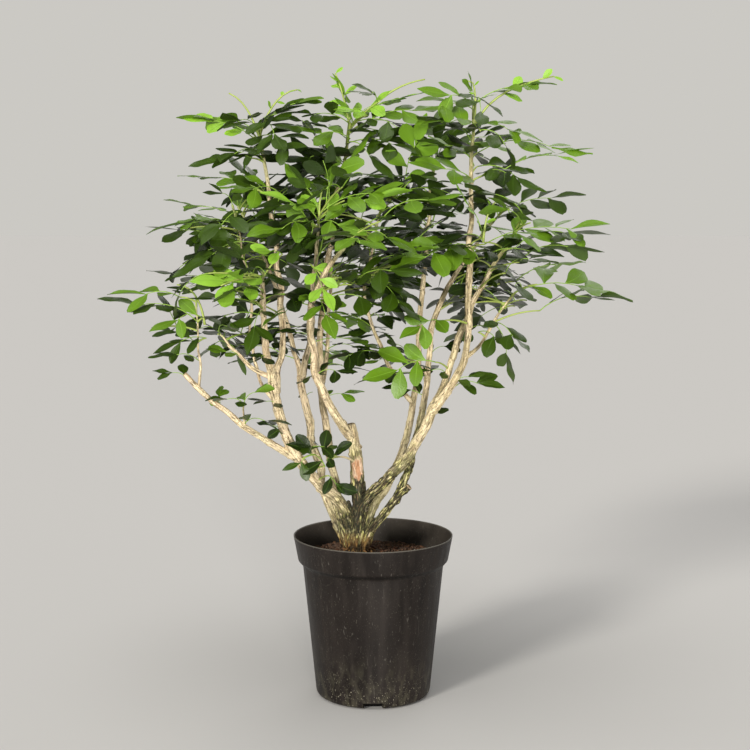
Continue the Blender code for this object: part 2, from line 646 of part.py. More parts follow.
class Growth:
    """The twigs and leaves of one mass. Each is skipped where it would leave the space or touch a limb."""

    def __init__(self, name, collection):
        self.name = name
        self.collection = collection
        self.obstacles = obstacles_of(name)
        self.stems = [stem_line(MASSES[name])[0]]
        self.pieces = []
        self.nodes = np.array([FAR_AWAY])
        self.taken = np.array([FAR_AWAY])
        self.rng = np.random.default_rng(list(MASSES).index(name))

    def fits(self, points):
        places, radii = self.obstacles
        apart = np.linalg.norm(points[:, None] - places[None], axis=2) - radii
        return inside_space(self.name, points) and apart.min() > LIMB_CLEARANCE

    def is_free(self, places):
        """Which of the places on a stem are clear of the leaves and twigs that leave it already."""
        return np.linalg.norm(places[:, None] - self.nodes[None], axis=2).min(axis=1) > NODE_SPACING

    def add_twig(self, points, widths):
        self.pieces.append(swept("twig", points, widths, TWIG_SIDES, self.collection))
        self.nodes = np.concatenate((self.nodes, points[:1]))

    def add_leaf(self, base, tip):
        """Adds a compound leaf with those of its leaflets that fit, if enough of them do."""
        stalk, leaflets = leaf_plan(base, tip, self.rng)
        if not self.fits(on_line(stalk, TWIG_SAMPLES)):
            return False
        fitting = []
        for foot, frame, length in leaflets:
            samples = leaflet_samples(foot, frame, length)
            apart = np.linalg.norm(samples[:, None] - self.taken[None], axis=2)
            if self.fits(samples) and apart.min() > LEAFLET_CLEARANCE:
                fitting.append((foot, frame, length, samples))
        if len(fitting) < FEWEST_LEAFLETS:
            return False
        self.add_twig(stalk, np.linspace(LEAF_FOOT_WIDTH, LEAF_TOP_WIDTH, len(stalk)))
        for foot, frame, length, samples in fitting:
            self.pieces.append(make_leaflet(foot, frame, length, self.collection))
            self.taken = np.concatenate((self.taken, samples))
        return True

    def add_longest_leaf(self, base, direction):
        """Adds the longest leaf in a direction that fits, down to the shortest length."""
        for reach in np.linspace(LEAF_REACH, SHORTEST_LEAF, LEAF_LENGTHS_TRIED):
            if self.add_leaf(base, base + direction * reach):
                return True
        return False

    def add_shoot(self, tip):
        """Adds a leaf that reaches the tip, on a twig from the stem where it is more than a leaf away."""
        stem = on_line(self.stems[0], np.linspace(LOWEST_SHOOT, 1, SHOOT_CHOICES))
        stem = stem[self.is_free(stem)]
        wanted_heights = tip[2] - SHOOT_RISE * np.linalg.norm((stem - tip)[:, :2], axis=1)
        base = stem[np.abs(stem[:, 2] - wanted_heights).argmin()]
        heading = unit(tip - base)
        twig_length = np.linalg.norm(tip - base) - LEAF_REACH
        if twig_length <= 0:
            self.add_leaf(base, tip)
            return
        twig_end = tip - heading * LEAF_REACH
        middle = (base + twig_end) / 2 + np.array((0, 0, TWIG_ARCH * twig_length))
        twig = np.array((base, middle, twig_end))
        if not self.fits(on_line(twig, TWIG_SAMPLES)):
            return
        if self.add_leaf(twig_end - heading * LEAFLET_SINK, tip):
            self.add_twig(twig, np.linspace(TWIG_FOOT_WIDTH, TWIG_TOP_WIDTH, len(twig)))
            self.stems.append(twig)

    def add_filling_leaf(self, earlier_leaves):
        """Adds a leaf from the stem or a twig, where the leaves grown so far leave it the most room."""
        others = np.concatenate((earlier_leaves, self.taken))
        choices = []
        for i in range(FILL_TRIES):
            places = on_line(self.stems[i % len(self.stems)], self.rng.uniform(LOWEST_SHOOT, 1, PLACES_TRIED))
            places = places[self.is_free(places)]
            if not len(places):
                continue
            base = places[0]
            bearing = GOLDEN_ANGLE * i + self.rng.uniform(-BEARING_JITTER, BEARING_JITTER)
            direction = unit((math.cos(bearing), math.sin(bearing), self.rng.uniform(*FILL_RISES)))
            leaf_middle = base + direction * LEAF_REACH * LEAF_MIDDLE_SHARE
            choices.append((np.linalg.norm(others - leaf_middle, axis=1).min(), base, direction))
        for _, base, direction in sorted(choices, key=lambda choice: -choice[0]):
            if self.add_longest_leaf(base, direction):
                return


def make_mass(name, earlier_leaves, collection, tools):
    """One mass of foliage, as one solid: a stem, the leaves that reach its tips, and the leaves between.

    It returns the solid and the points its leaves take up.
    """
    mass = MASSES[name]
    solid = swept(name, *stem_line(mass), STEM_SIDES, collection)
    growth = Growth(name, tools)
    for tip in np.array(mass.tips):
        growth.add_shoot(tip)
    for _ in range(mass.leaves):
        growth.add_filling_leaf(earlier_leaves)
    apply_boolean(solid, "UNION", "MANIFOLD", growth.pieces)
    if mass.share < 1:
        apply_boolean(solid, "DIFFERENCE", "MANIFOLD", [fattened(mass.limb, tools)])
    return solid, growth.taken


def main():
    clear_scene()
    plant = make_collection("orange_jasmine")
    tools = make_collection("drawing_tools")
    materials = {name: make_material(name, *values) for name, values in MATERIALS.items()}
    for sides in (TWIG_SIDES, STEM_SIDES, LIMB_SIDES, CORE_SIDES):
        make_outline(sides, tools)
    finish(make_pot(plant), materials["pot_plastic"])
    finish(make_soil(plant), materials["soil"])
    finish(make_trunk(plant, tools), materials["bark"])
    for name in LIMBS:
        finish(make_limb(name, plant, tools), materials["bark"])
    leaf_points = np.empty((0, 3))
    for name in MASSES:
        mass, own_points = make_mass(name, leaf_points, plant, tools)
        leaf_points = np.concatenate((leaf_points, own_points))
        finish(mass, materials["leaf_green"])


main()
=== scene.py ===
"""Looks of the orange jasmine shrub in its nursery pot.

Metres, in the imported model's frame: +Z up, the origin under the middle of the pot, and -Y to the front.
"""

import math
from typing import NamedTuple

import bpy
import numpy as np
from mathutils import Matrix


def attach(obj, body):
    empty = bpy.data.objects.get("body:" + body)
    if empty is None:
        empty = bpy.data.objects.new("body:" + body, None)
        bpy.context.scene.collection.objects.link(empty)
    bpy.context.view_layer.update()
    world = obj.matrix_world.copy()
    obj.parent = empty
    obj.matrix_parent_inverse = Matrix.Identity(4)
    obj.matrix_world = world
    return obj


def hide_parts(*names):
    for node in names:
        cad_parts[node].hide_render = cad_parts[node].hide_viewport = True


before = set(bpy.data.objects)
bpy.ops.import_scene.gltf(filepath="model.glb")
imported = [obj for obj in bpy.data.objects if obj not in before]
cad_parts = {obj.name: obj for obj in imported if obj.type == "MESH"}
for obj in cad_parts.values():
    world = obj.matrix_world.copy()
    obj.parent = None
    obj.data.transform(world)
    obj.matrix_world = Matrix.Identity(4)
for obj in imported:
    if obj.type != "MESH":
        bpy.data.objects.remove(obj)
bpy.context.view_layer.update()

# Camera, as the photograph was taken: a 750 pixel frame, with the lens given for a 36 mm sensor
CAMERA_PLACE = (0.002, -1.45, 0.50)
CAMERA_TILT = math.radians(6.2)
CAMERA_LENS = 66.5
SENSOR_WIDTH = 36

# Studio: each light's place, size in degrees, strength and colour, and the tones of floor and surroundings
LIGHTS = {
    "key": ((-1.25, -1.65, 1.16), 12, 2.1, (1.0, 0.965, 0.90)),
    "top": ((-0.25, -0.45, 2.40), 50, 0.98, (1.0, 0.98, 0.95)),
    "front": ((0.30, -1.85, 0.47), 12, 3.3, (1.0, 0.965, 0.905)),
    "back": ((0.60, 1.70, 1.30), 40, 0.50, (1.0, 0.98, 0.94)),
}
LIGHTS_AIM = (0, 0, 0.36)
FLOOR_TONE = (0.614, 0.604, 0.588)
FLOOR_REACH = 60
FLOOR_LEVEL = -0.0005
DAYLIGHT_TONE = (0.300, 0.302, 0.305, 1)
REFLECTED_TONE = (0.100, 0.100, 0.098, 1)
BACKDROP_TONE = (0.598, 0.584, 0.550, 1)

# Nursery pot: POT_CORNERS rounds the corners of its profile, and RIM_WARP is the share of its radius by
# which the rim is out of round. Two rows of points for the slots' back walls follow row SLOT_ROW of the
# underside, which folds back there
POT_HEIGHT = 0.172
RIM_RADIUS = 0.0845
BAND_HEIGHT = 0.026
BAND_FOOT_RADIUS = 0.0797
STEP_DROP = 0.0055
BODY_TOP_RADIUS = 0.0748
BASE_RADIUS = 0.0608
WALL = 0.0016
SLOT_COUNT = 3
SLOT_WIDTH = 0.0215
SLOT_HEIGHT = 0.0068
SLOT_BACK = BASE_RADIUS - 0.011
SLOT_EDGE = 0.0001
SLOT_ROW = 10
POT_COLUMNS = 180
POT_STEP = 0.004
POT_CORNERS = (0, 0.0055, 0.0012, 0.0007, 0.0007, 0.0007, 0.0012, 0.0012, 0.003, 0)
POT_SHARP_ANGLE = math.radians(50)
HIDDEN_FLOOR = 0.0075
RIM_WARP = 0.0035

# Potting soil: it heaps up round the trunk, and carries crumbs, bark chips and grit
SOIL_LEVEL = 0.146
SOIL_LIFT = 0.0012
SOIL_RADIUS = 0.0730
SOIL_BOTTOM = 0.120
SOIL_RINGS = 57
SOIL_COLUMNS = 170
MOUND_PLACE = (-0.024, 0.012)
MOUND_RISE = 0.010
MOUND_REACH = 0.032

# Lumps of the soil: their size, height and seed; the last ones are folded up into crumbs
LUMPS = ((0.011, 0.0013, 3), (0.0045, 0.0009, 4))
CRUMBS = (0.0019, 0.0006, 5)

# What lies on the soil: how many, their smallest and largest radius, flatness, seed and material
LITTER = {
    "soil_crumbs": (1100, (0.0009, 0.0023), 0.8, 21, "soil"),
    "bark_chips": (260, (0.0016, 0.0040), 0.35, 22, "chips"),
    "soil_grit": (70, (0.0006, 0.0011), 0.8, 23, "grit"),
}

# Where each kind's random draws start
SEEDS = {
    "core": 1, "foot_roots": 5, "thread_roots": 6, "masses": 7, "cut_faces": 9, "leaders": 10,
    "young_shoots": 11, "front_leaves": 17, "sprouts": 19, "skirt": 23, "strands": 30, "flares": 50,
    "boughs": 60, "wounds": 77, "stems": 120, "webs": 140, "leaflets": 200,
}

# Trunk and limbs: widths are given from foot to tip, and the swells as shares of a limb's width at its foot
GAP = 0.0003
TRUNK_AXIS = (-0.018, 0.0)
CORE_WIDTHS = (0.0155, 0.0160, 0.0215, 0.0160)
CORE_HEIGHTS = (-0.004, 0.006, 0.022, 0.036)
ARM_ROOT_RADIUS = 0.0052
ARM_ROOT_DEPTH = 0.004
ARM_BEND_SHARE = 0.4
STRAIGHT_END = 0.0025
LIMB_SLIMNESS = 0.87
STUB_SLIMNESS = 1.06
LEADER_SWELL = (1, 1.26, 1.03, 1)
BOUGH_SWELL = (1.35, 1.10, 1)
STEM_TAPER = (1, 0.9, 0.7, 0.55)
STEM_TIP_WIDTH = 0.0024
SIDE_STEM_WIDTH = 0.0030
MEAN_STEM_WIDTH = 0.0035

# Roots at the trunk's foot: how far from the trunk's axis and how high over the soil each kind starts, bends
# and ends, as a number or a range
STRAND_ROOTS = 17
STRAND_WIDTHS = (0.0022, 0.0034, 0.0036, 0.0028)
STRAND_START = ((0.0100, 0.0117), (0.020, 0.030))
STRAND_BEND = (0.0084, 0.012)
STRAND_END = ((0.0086, 0.0104), -0.004)
FLARE_ROOTS = 6
FLARE_WIDTHS = (0.0070, 0.0050, 0.0026)
FLARE_START = (0.007, 0.012)
FLARE_BEND = (0.012, 0.006)
FLARE_REACH = 0.0165
FLARE_DEPTH = 0.003
THREAD_ROOTS = 22
THREAD_RADII = (0.0009, 0.0004)
THREAD_START = ((0.009, 0.012), (0.003, 0.013))
THREAD_BEND = (0.019, (0.005, 0.013))
THREAD_END = ((0.021, 0.032), -0.003)

# How finely limbs, twigs and stalks are divided along and round them
BARK_STEP = 0.0009
CORE_SIDES = 84
LEADER_SIDES = 52
BOUGH_SIDES = 30
WEB_SIDES = 26
FLARE_SIDES = 20
STRAND_SIDES = 12
STEM_SIDES = 12
TWIG_SIDES = 6
TWIG_RINGS = 9
STALK_SIDES = 5
STALK_RINGS = 8
CUT_SIDES = 20

# How high on the plant each limb's bark is fissured and overgrown. On the others this ends at OLD_BARK.
# It fades over AGING_HEIGHT, along a ragged line
OLD_BARK = 0.200
WEATHERED = {
    "left_leader": 0.206,
    "centre_stub": 0.250,
    "right_leader": 0.255,
    "low_right_stub": 0.262,
    "right_back_stem": 0.290,
}
AGING_HEIGHT = 0.044
RAGGEDNESS = 0.35
RAGGED_CELL = 0.007

# Relief of the bark. A cell is the size of what its noise makes. The shares are of the limb's radius
WANDER = 0.0024
WANDER_CELL = 0.022
FISSURE_DEPTH = 0.00105
FISSURE_CELL = 0.0021
FISSURE_SHARPNESS = 3.2
GRAIN_HEIGHT = 0.0006
GRAIN_CELL = 0.0013
SWELL_SHARE = 0.055
SWELL_CELL = 0.009
KNOT_SHARE = 0.55
KNOT_CELL = 0.0062
KNOT_LEVEL = 0.46
RING_SHARE = 0.07
RING_SPACING = 0.021
RING_WIDTH = 0.05
DRAWN_OUT = 0.22

# How a limb's end closes, cut or grown: how far on and how wide three more rings are, in tip radii
CUT_END = ((0.10, 0.97), (0.22, 0.88), (0.30, 0.62))
GROWN_END = ((0.3, 0.94), (0.6, 0.75), (0.8, 0.45))

# The rings of a pruned end's face, from its edge inwards: how wide each is as a share of the face, and how
# far it stands out. That, the face's radius, its place and its middle's are in widths of the limb at its tip
CUT_RINGS = ((1.0, 0.0), (1.0, 0.06), (0.8, 0.12), (0.55, 0.13), (0.3, 0.10), (0.1, 0.02))
CUT_RADIUS = 0.46
CUT_PLACE = 0.09
CUT_MIDDLE = 0.10
CUT_ROUGHNESS = 0.00025
CUT_CELL = 0.0015

# Old wounds in the bark: place and reach. They are drawn out upwards, and their edge is ragged
WOUNDS = (((-0.0155, -0.0130, 0.244), 0.0082),)
WOUND_SHAPE = (1, 1, 0.62)
WOUND_RAGGEDNESS = 0.22
WOUND_CELL = 0.0025
WOUND_SHARPNESS = 5

# Neighbouring arms of the trunk with wood in the fork between them, and the share of their length it fills
FORK_WEBS = (
    ("left_leader", "centre_stub", 0.84), ("left_leader", "mid_left_stem", 0.80),
    ("centre_stub", "right_leader", 0.62), ("right_leader", "low_right_stub", 0.50),
)
WEB_WIDTHS = (0.0110, 0.0115, 0.0085, 0.0035)
WEB_TOP = 0.240

# Compound leaves, and their ages from the oldest to the newest, each with its own green. The darker greens
# also stand as painted shade in the crown, and the lighter ones as painted light on its outside and top
LEAF_REACH = 0.104
LEAFLET_LENGTH = 0.0305
LEAFLET_SLENDERNESS = 0.55
BLUNT_TIP = 0.26
LEAFLET_ROWS = 9
LEAFLET_COLUMNS = 5
LEAFLET_SPACING = 0.0097
STALK_RADIUS = 0.00062
STALK_TAPER = 0.55
TWIG_RADII = (0.0012, 0.0007)
SHOOT_TWIG_RADII = (0.0011, 0.0007)
YOUNG_SHOOT_RADII = (0.0014, 0.0007)
RIB_WIDTH = 0.0008
RIB_HEIGHT = 0.00018
DEEP, MIDDLE, FRESH, YOUNG = range(4)
AGE_STEPS = (0.68, 1.04, 1.40)

# How much younger and lighter leaves are at the crown's outside, at the ends of shoots, by chance and at
# its top, how much darker at its back, and where its top and its back start. The lighter greens outside
# and at the top are partly painted light, the darker ones inside are partly painted shade, and the darker
# ones at the back are painted shade
YOUNGER_AND_LIT_OUTSIDE = 0.62
YOUNGER_AT_ENDS = 0.24
YOUNGER_BY_CHANCE = 0.25
YOUNGER_AND_LIT_AT_TOP = 0.25
SHADE_AT_BACK = 0.10
CROWN_TOP = 0.50
CROWN_TOP_DEPTH = 0.15
CROWN_BACK = 0.05

# How a leaf varies: its last leaflet's length in leaflet lengths, the arch and sideways bend of its stalk as
# shares of its reach, where on the stalk the leaflets stand, and the angle they make with it at its foot
END_LEAFLET = 1.32
STALK_ARCH = (0.09, 0.18)
STALK_SWAY = 0.05
LEAFLET_SHARES = (0.24, 0.94)
LEAFLET_COUNTS = (2, 9)
LEAFLET_ANGLE = 62
LEAFLET_ANGLE_LOSS = 14
LEAF_ROLL = 0.24
LEAFLET_TWIST = 0.17
LEAFLET_SAG = 0.12

# The ranges within which leaflets differ: the fold along the midrib, how far the edges curl down and wave,
# where the wave starts, and how far the tip droops
LEAFLET_BENDS = {
    "fold": (0.05, 0.40),
    "curl": (0.0, 0.30),
    "wave": (0.0, 0.030),
    "phase": (0, math.tau),
    "droop": (0.02, 0.22),
}

# Growth of the crown. SHOOT_TRIES and SKIRT_TRIES are the tries for each shoot of a mass and each leaf under
# the masses. SHOOT_RISE is how much a shoot rises for each length that it goes outward, LEAF_SPACING the
# length of a twig for each leaf, SINGLE_LEAVES the share of shoots that are one leaf on the stem, and
# TWIG_LEAVES where on a twig its leaves start and end. CROWN_LOW and CROWN_HIGH are the corners of the box
# that the solids' leaves fill
GOLDEN_ANGLE = math.radians(137.5)
SHOOT_TRIES = 5
SKIRT_TRIES = 2
ANY_MASS = -1
LEAFLET_ROOM = 0.0086
LOWEST_SHOOT = 0.10
SHOOT_RISE = 0.3
SHORTEST_SHOOT = 0.008
SHORTEST_TWIG = 0.004
SHOOT_LENGTHS = (0.022, 0.062)
LEAF_SPACING = 0.018
SINGLE_LEAVES = 0.45
TWIG_LEAVES = (0.35, 0.92)
SPROUT_SCALE = 0.62
CROWN_CENTRE = (-0.005, 0.0, 0.42)
CROWN_HALF = (0.27, 0.19, 0.235)
CROWN_LOW = (-0.278, -0.179, 0.220)
CROWN_HIGH = (0.265, 0.196, 0.654)
CROWN_SLACK = 0.006
WOOD_POINTS = 60
FAR_AWAY = 10.0

# How far leaflets' middles and tips, stalks and twigs stay clear of limbs and stems
MIDDLE_CLEARANCE = 0.004
TIP_CLEARANCE = 0.002
STALK_CLEARANCE = 0.0015
TWIG_CLEARANCE = 0.001

# The limbs stay in sight from the front: how near to one a leaflet hides it, and the share of such leaflets
# that is left out at these heights
SIGHT_WIDTH = 0.009
SIGHT_HEIGHTS = (0.40, 0.50, 0.60)
SIGHT_SHARES = (0.90, 0.50, 0.30)

# The crown's reach to the left and to the right at each height, seen from the front
OUTLINE = (
    (0.335, -0.060, 0.050), (0.360, -0.165, 0.085), (0.385, -0.205, 0.120), (0.405, -0.215, 0.140),
    (0.430, -0.235, 0.180), (0.455, -0.205, 0.160), (0.480, -0.195, 0.180), (0.505, -0.210, 0.195),
    (0.530, -0.155, 0.150), (0.555, -0.165, 0.160), (0.585, -0.175, 0.180), (0.605, -0.160, 0.155),
    (0.625, -0.100, 0.115), (0.648, -0.035, 0.085),
)


class Limb(NamedTuple):
    """One limb: its seat on the trunk or a limb, its tip, its bend as shares of the way, and its widths."""

    seat: str
    share: float
    tip: tuple
    out: float
    up: float
    foot_width: float
    tip_width: float


class Arm(NamedTuple):
    """One arm of the trunk: its bearing at the soil, in degrees from +X, and where its bough starts."""

    bearing: float
    end: tuple


class Mass(NamedTuple):
    """One mass of foliage, by the limb its stem stands on, the stem's top and its furthest leaf tips."""

    limb: str
    share: float
    top: tuple
    tips: tuple
    shoots: int


ARMS = {
    "left_leader": Arm(190, (-0.050, -0.006, 0.222)),
    "mid_left_stem": Arm(150, (-0.051, 0.010, 0.218)),
    "mid_back_stem": Arm(95, (-0.041, 0.022, 0.222)),
    "centre_stub": Arm(260, (-0.015, -0.003, 0.220)),
    "right_leader": Arm(300, (0.003, -0.011, 0.222)),
    "low_right_stub": Arm(335, (-0.001, -0.010, 0.178)),
    "back_right_stem": Arm(20, (0.008, 0.004, 0.215)),
}

LIMBS = {
    "left_leader": Limb("trunk", 1, (-0.103, -0.020, 0.331), 0.80, 0.28, 0.0132, 0.0108),
    "mid_left_stem": Limb("trunk", 1, (-0.078, 0.025, 0.338), 0.75, 0.58, 0.0100, 0.0090),
    "mid_back_stem": Limb("trunk", 1, (-0.058, 0.048, 0.373), 0.95, 0.44, 0.0090, 0.0070),
    "centre_stub": Limb("trunk", 1, (-0.024, -0.006, 0.289), 0.25, 0.60, 0.0138, 0.0112),
    "right_leader": Limb("trunk", 1, (0.062, -0.024, 0.311), 0.66, 0.38, 0.0132, 0.0112),
    "low_right_stub": Limb("trunk", 1, (0.037, -0.024, 0.227), 0.46, 0.56, 0.0100, 0.0085),
    "back_right_stem": Limb("trunk", 1, (0.050, 0.060, 0.380), 0.98, 0.28, 0.0090, 0.0062),
    "left_outer_bough": Limb("left_leader", 0.97, (-0.112, -0.034, 0.407), 0.85, 0.50, 0.0088, 0.0066),
    "left_inner_bough": Limb("left_leader", 0.95, (-0.094, -0.008, 0.391), 0.80, 0.50, 0.0082, 0.0070),
    "low_left_bough": Limb("left_leader", 0.37, (-0.194, -0.028, 0.346), 0.52, 0.33, 0.0072, 0.0060),
    "left_side_branch": Limb("left_outer_bough", 0.20, (-0.151, -0.010, 0.375), 0.50, 0.25, 0.0050, 0.0034),
    "left_thin_branch": Limb("left_leader", 0.88, (-0.127, -0.004, 0.408), 1.35, 0.36, 0.0036, 0.0028),
    "mid_left_fork": Limb("mid_left_stem", 0.97, (-0.066, 0.022, 0.387), 0.65, 0.53, 0.0074, 0.0062),
    "mid_left_stub": Limb("mid_left_stem", 0.97, (-0.086, 0.040, 0.366), 0.65, 0.55, 0.0066, 0.0056),
    "mid_back_fork": Limb("mid_back_stem", 0.70, (-0.050, 0.086, 0.386), 0.70, 0.38, 0.0056, 0.0044),
    "centre_branch": Limb("centre_stub", 0.82, (-0.063, -0.045, 0.418), 1.16, 0.42, 0.0092, 0.0072),
    "right_inner_stub": Limb("right_leader", 0.95, (0.083, -0.010, 0.361), 0.62, 0.53, 0.0086, 0.0076),
    "right_outer_bough": Limb("right_leader", 0.96, (0.098, -0.040, 0.395), 0.92, 0.38, 0.0092, 0.0072),
    "right_side_twig": Limb("right_outer_bough", 0.68, (0.122, -0.030, 0.396), 0.60, 0.40, 0.0042, 0.0032),
    "right_back_stem": Limb("low_right_stub", 0.66, (0.062, 0.032, 0.388), 0.90, 0.37, 0.0084, 0.0064),
    "inner_cross_twig": Limb("back_right_stem", 0.59, (-0.009, -0.014, 0.426), 0.70, 0.45, 0.0048, 0.0034),
}

MASSES = {
    "far_left_leaves": Mass("low_left_bough", 0.86, (-0.180, -0.036, 0.424), (
        (-0.277, -0.045, 0.431), (-0.224, -0.060, 0.376), (-0.236, 0.025, 0.397)), 8),
    "left_mid_leaves": Mass("left_thin_branch", 1, (-0.141, -0.050, 0.519), (
        (-0.228, -0.045, 0.504), (-0.233, -0.010, 0.460), (-0.160, -0.075, 0.545)), 10),
    "left_top_leaves": Mass("left_inner_bough", 1, (-0.119, 0.005, 0.599), (
        (-0.201, 0.000, 0.615), (-0.203, 0.025, 0.559), (-0.082, 0.010, 0.632), (-0.147, -0.060, 0.615)
    ), 12),
    "front_low_left_leaves": Mass("left_outer_bough", 1, (-0.107, -0.106, 0.454), (
        (-0.177, -0.110, 0.435), (-0.136, -0.180, 0.448), (-0.125, -0.100, 0.383)), 9),
    "front_left_leaves": Mass("mid_left_fork", 1, (-0.053, -0.070, 0.510), (
        (0.030, -0.100, 0.542), (-0.078, -0.080, 0.562), (-0.110, -0.150, 0.530), (-0.040, -0.180, 0.500)
    ), 11),
    "centre_top_leaves": Mass("mid_back_stem", 1, (-0.024, 0.020, 0.603), (
        (-0.037, 0.010, 0.656), (0.054, 0.020, 0.648), (-0.108, 0.040, 0.612), (0.045, -0.050, 0.600)), 13),
    "centre_front_leaves": Mass("centre_branch", 1, (-0.022, -0.108, 0.486), (
        (-0.036, -0.120, 0.400), (0.040, -0.165, 0.465), (0.035, -0.110, 0.420)), 10),
    "top_right_leaves": Mass("right_outer_bough", 1, (0.102, -0.020, 0.621), (
        (0.182, -0.030, 0.650), (0.222, -0.025, 0.582), (0.098, -0.020, 0.654), (0.045, -0.085, 0.590)), 14),
    "right_mid_leaves": Mass("right_inner_stub", 1, (0.150, -0.038, 0.500), (
        (0.235, -0.050, 0.503), (0.226, -0.090, 0.490), (0.060, -0.130, 0.490), (0.165, -0.160, 0.480)), 11),
    "right_low_leaves": Mass("right_side_twig", 1, (0.146, -0.022, 0.430), (
        (0.264, -0.020, 0.435), (0.155, -0.085, 0.378), (0.150, -0.020, 0.338)), 8),
    "back_right_leaves": Mass("back_right_stem", 1, (0.069, 0.095, 0.571), (
        (0.074, 0.110, 0.632), (0.150, 0.130, 0.600), (0.010, 0.165, 0.560), (0.090, 0.195, 0.530)), 12),
    "right_back_leaves": Mass("right_back_stem", 1, (0.142, 0.100, 0.512), (
        (0.232, 0.090, 0.540), (0.238, 0.130, 0.465), (0.140, 0.190, 0.450)), 11),
    "inner_leaves": Mass("inner_cross_twig", 1, (0.010, -0.012, 0.520), (
        (0.065, -0.030, 0.540), (0.030, 0.060, 0.500), (0.060, 0.010, 0.455)), 9),
    "back_left_leaves": Mass("mid_left_stub", 1, (-0.151, 0.110, 0.520), (
        (-0.230, 0.095, 0.530), (-0.222, 0.130, 0.445), (-0.139, 0.120, 0.590)), 11),
    "back_centre_leaves": Mass("mid_back_fork", 1, (-0.045, 0.140, 0.520), (
        (-0.049, 0.145, 0.600), (-0.090, 0.195, 0.470), (0.030, 0.190, 0.480)), 12),
    "left_side_leaves": Mass("left_side_branch", 1, (-0.162, -0.004, 0.386), (
        (-0.190, 0.034, 0.364), (-0.134, 0.016, 0.345)), 2),
    "basal_leaves": Mass("centre_stub", 0.40, (-0.042, -0.034, 0.262), (
        (-0.088, -0.048, 0.284),), 0),
    "low_bough_leaves": Mass("low_left_bough", 0.44, (-0.133, -0.036, 0.316), (
        (-0.106, -0.052, 0.345), (-0.086, -0.050, 0.305), (-0.168, -0.056, 0.330)), 1),
    "under_right_leaves": Mass("right_back_stem", 0.72, (0.036, -0.002, 0.364), (
        (-0.018, -0.034, 0.345), (0.010, 0.006, 0.388)), 1),
}

# Young shoots that stand out of the crown's edge: foot, bend, tip, how many leaflets they carry and how long
YOUNG_SHOOTS = (
    ((-0.114, -0.005, 0.578), (-0.126, -0.005, 0.626), (-0.148, -0.005, 0.634), 0, 0),
    ((-0.117, 0.000, 0.592), (-0.103, 0.000, 0.636), (-0.078, 0.000, 0.638), 5, 0.010),
    ((-0.024, 0.010, 0.598), (-0.029, 0.010, 0.632), (-0.039, 0.010, 0.656), 5, 0.018),
    ((-0.004, 0.015, 0.618), (0.020, 0.015, 0.645), (0.054, 0.015, 0.650), 0, 0),
    ((0.103, -0.020, 0.600), (0.107, -0.020, 0.650), (0.096, -0.020, 0.645), 4, 0.009),
    ((0.104, -0.015, 0.600), (0.118, -0.015, 0.638), (0.184, -0.015, 0.650), 6, 0.019),
    ((0.110, -0.060, 0.482), (0.112, -0.060, 0.516), (0.123, -0.060, 0.523), 4, 0.011),
    ((-0.053, -0.070, 0.508), (-0.054, -0.070, 0.520), (-0.050, -0.072, 0.534), 4, 0.009),
    ((-0.172, -0.036, 0.398), (-0.177, -0.036, 0.438), (-0.200, -0.036, 0.439), 0, 0),
)

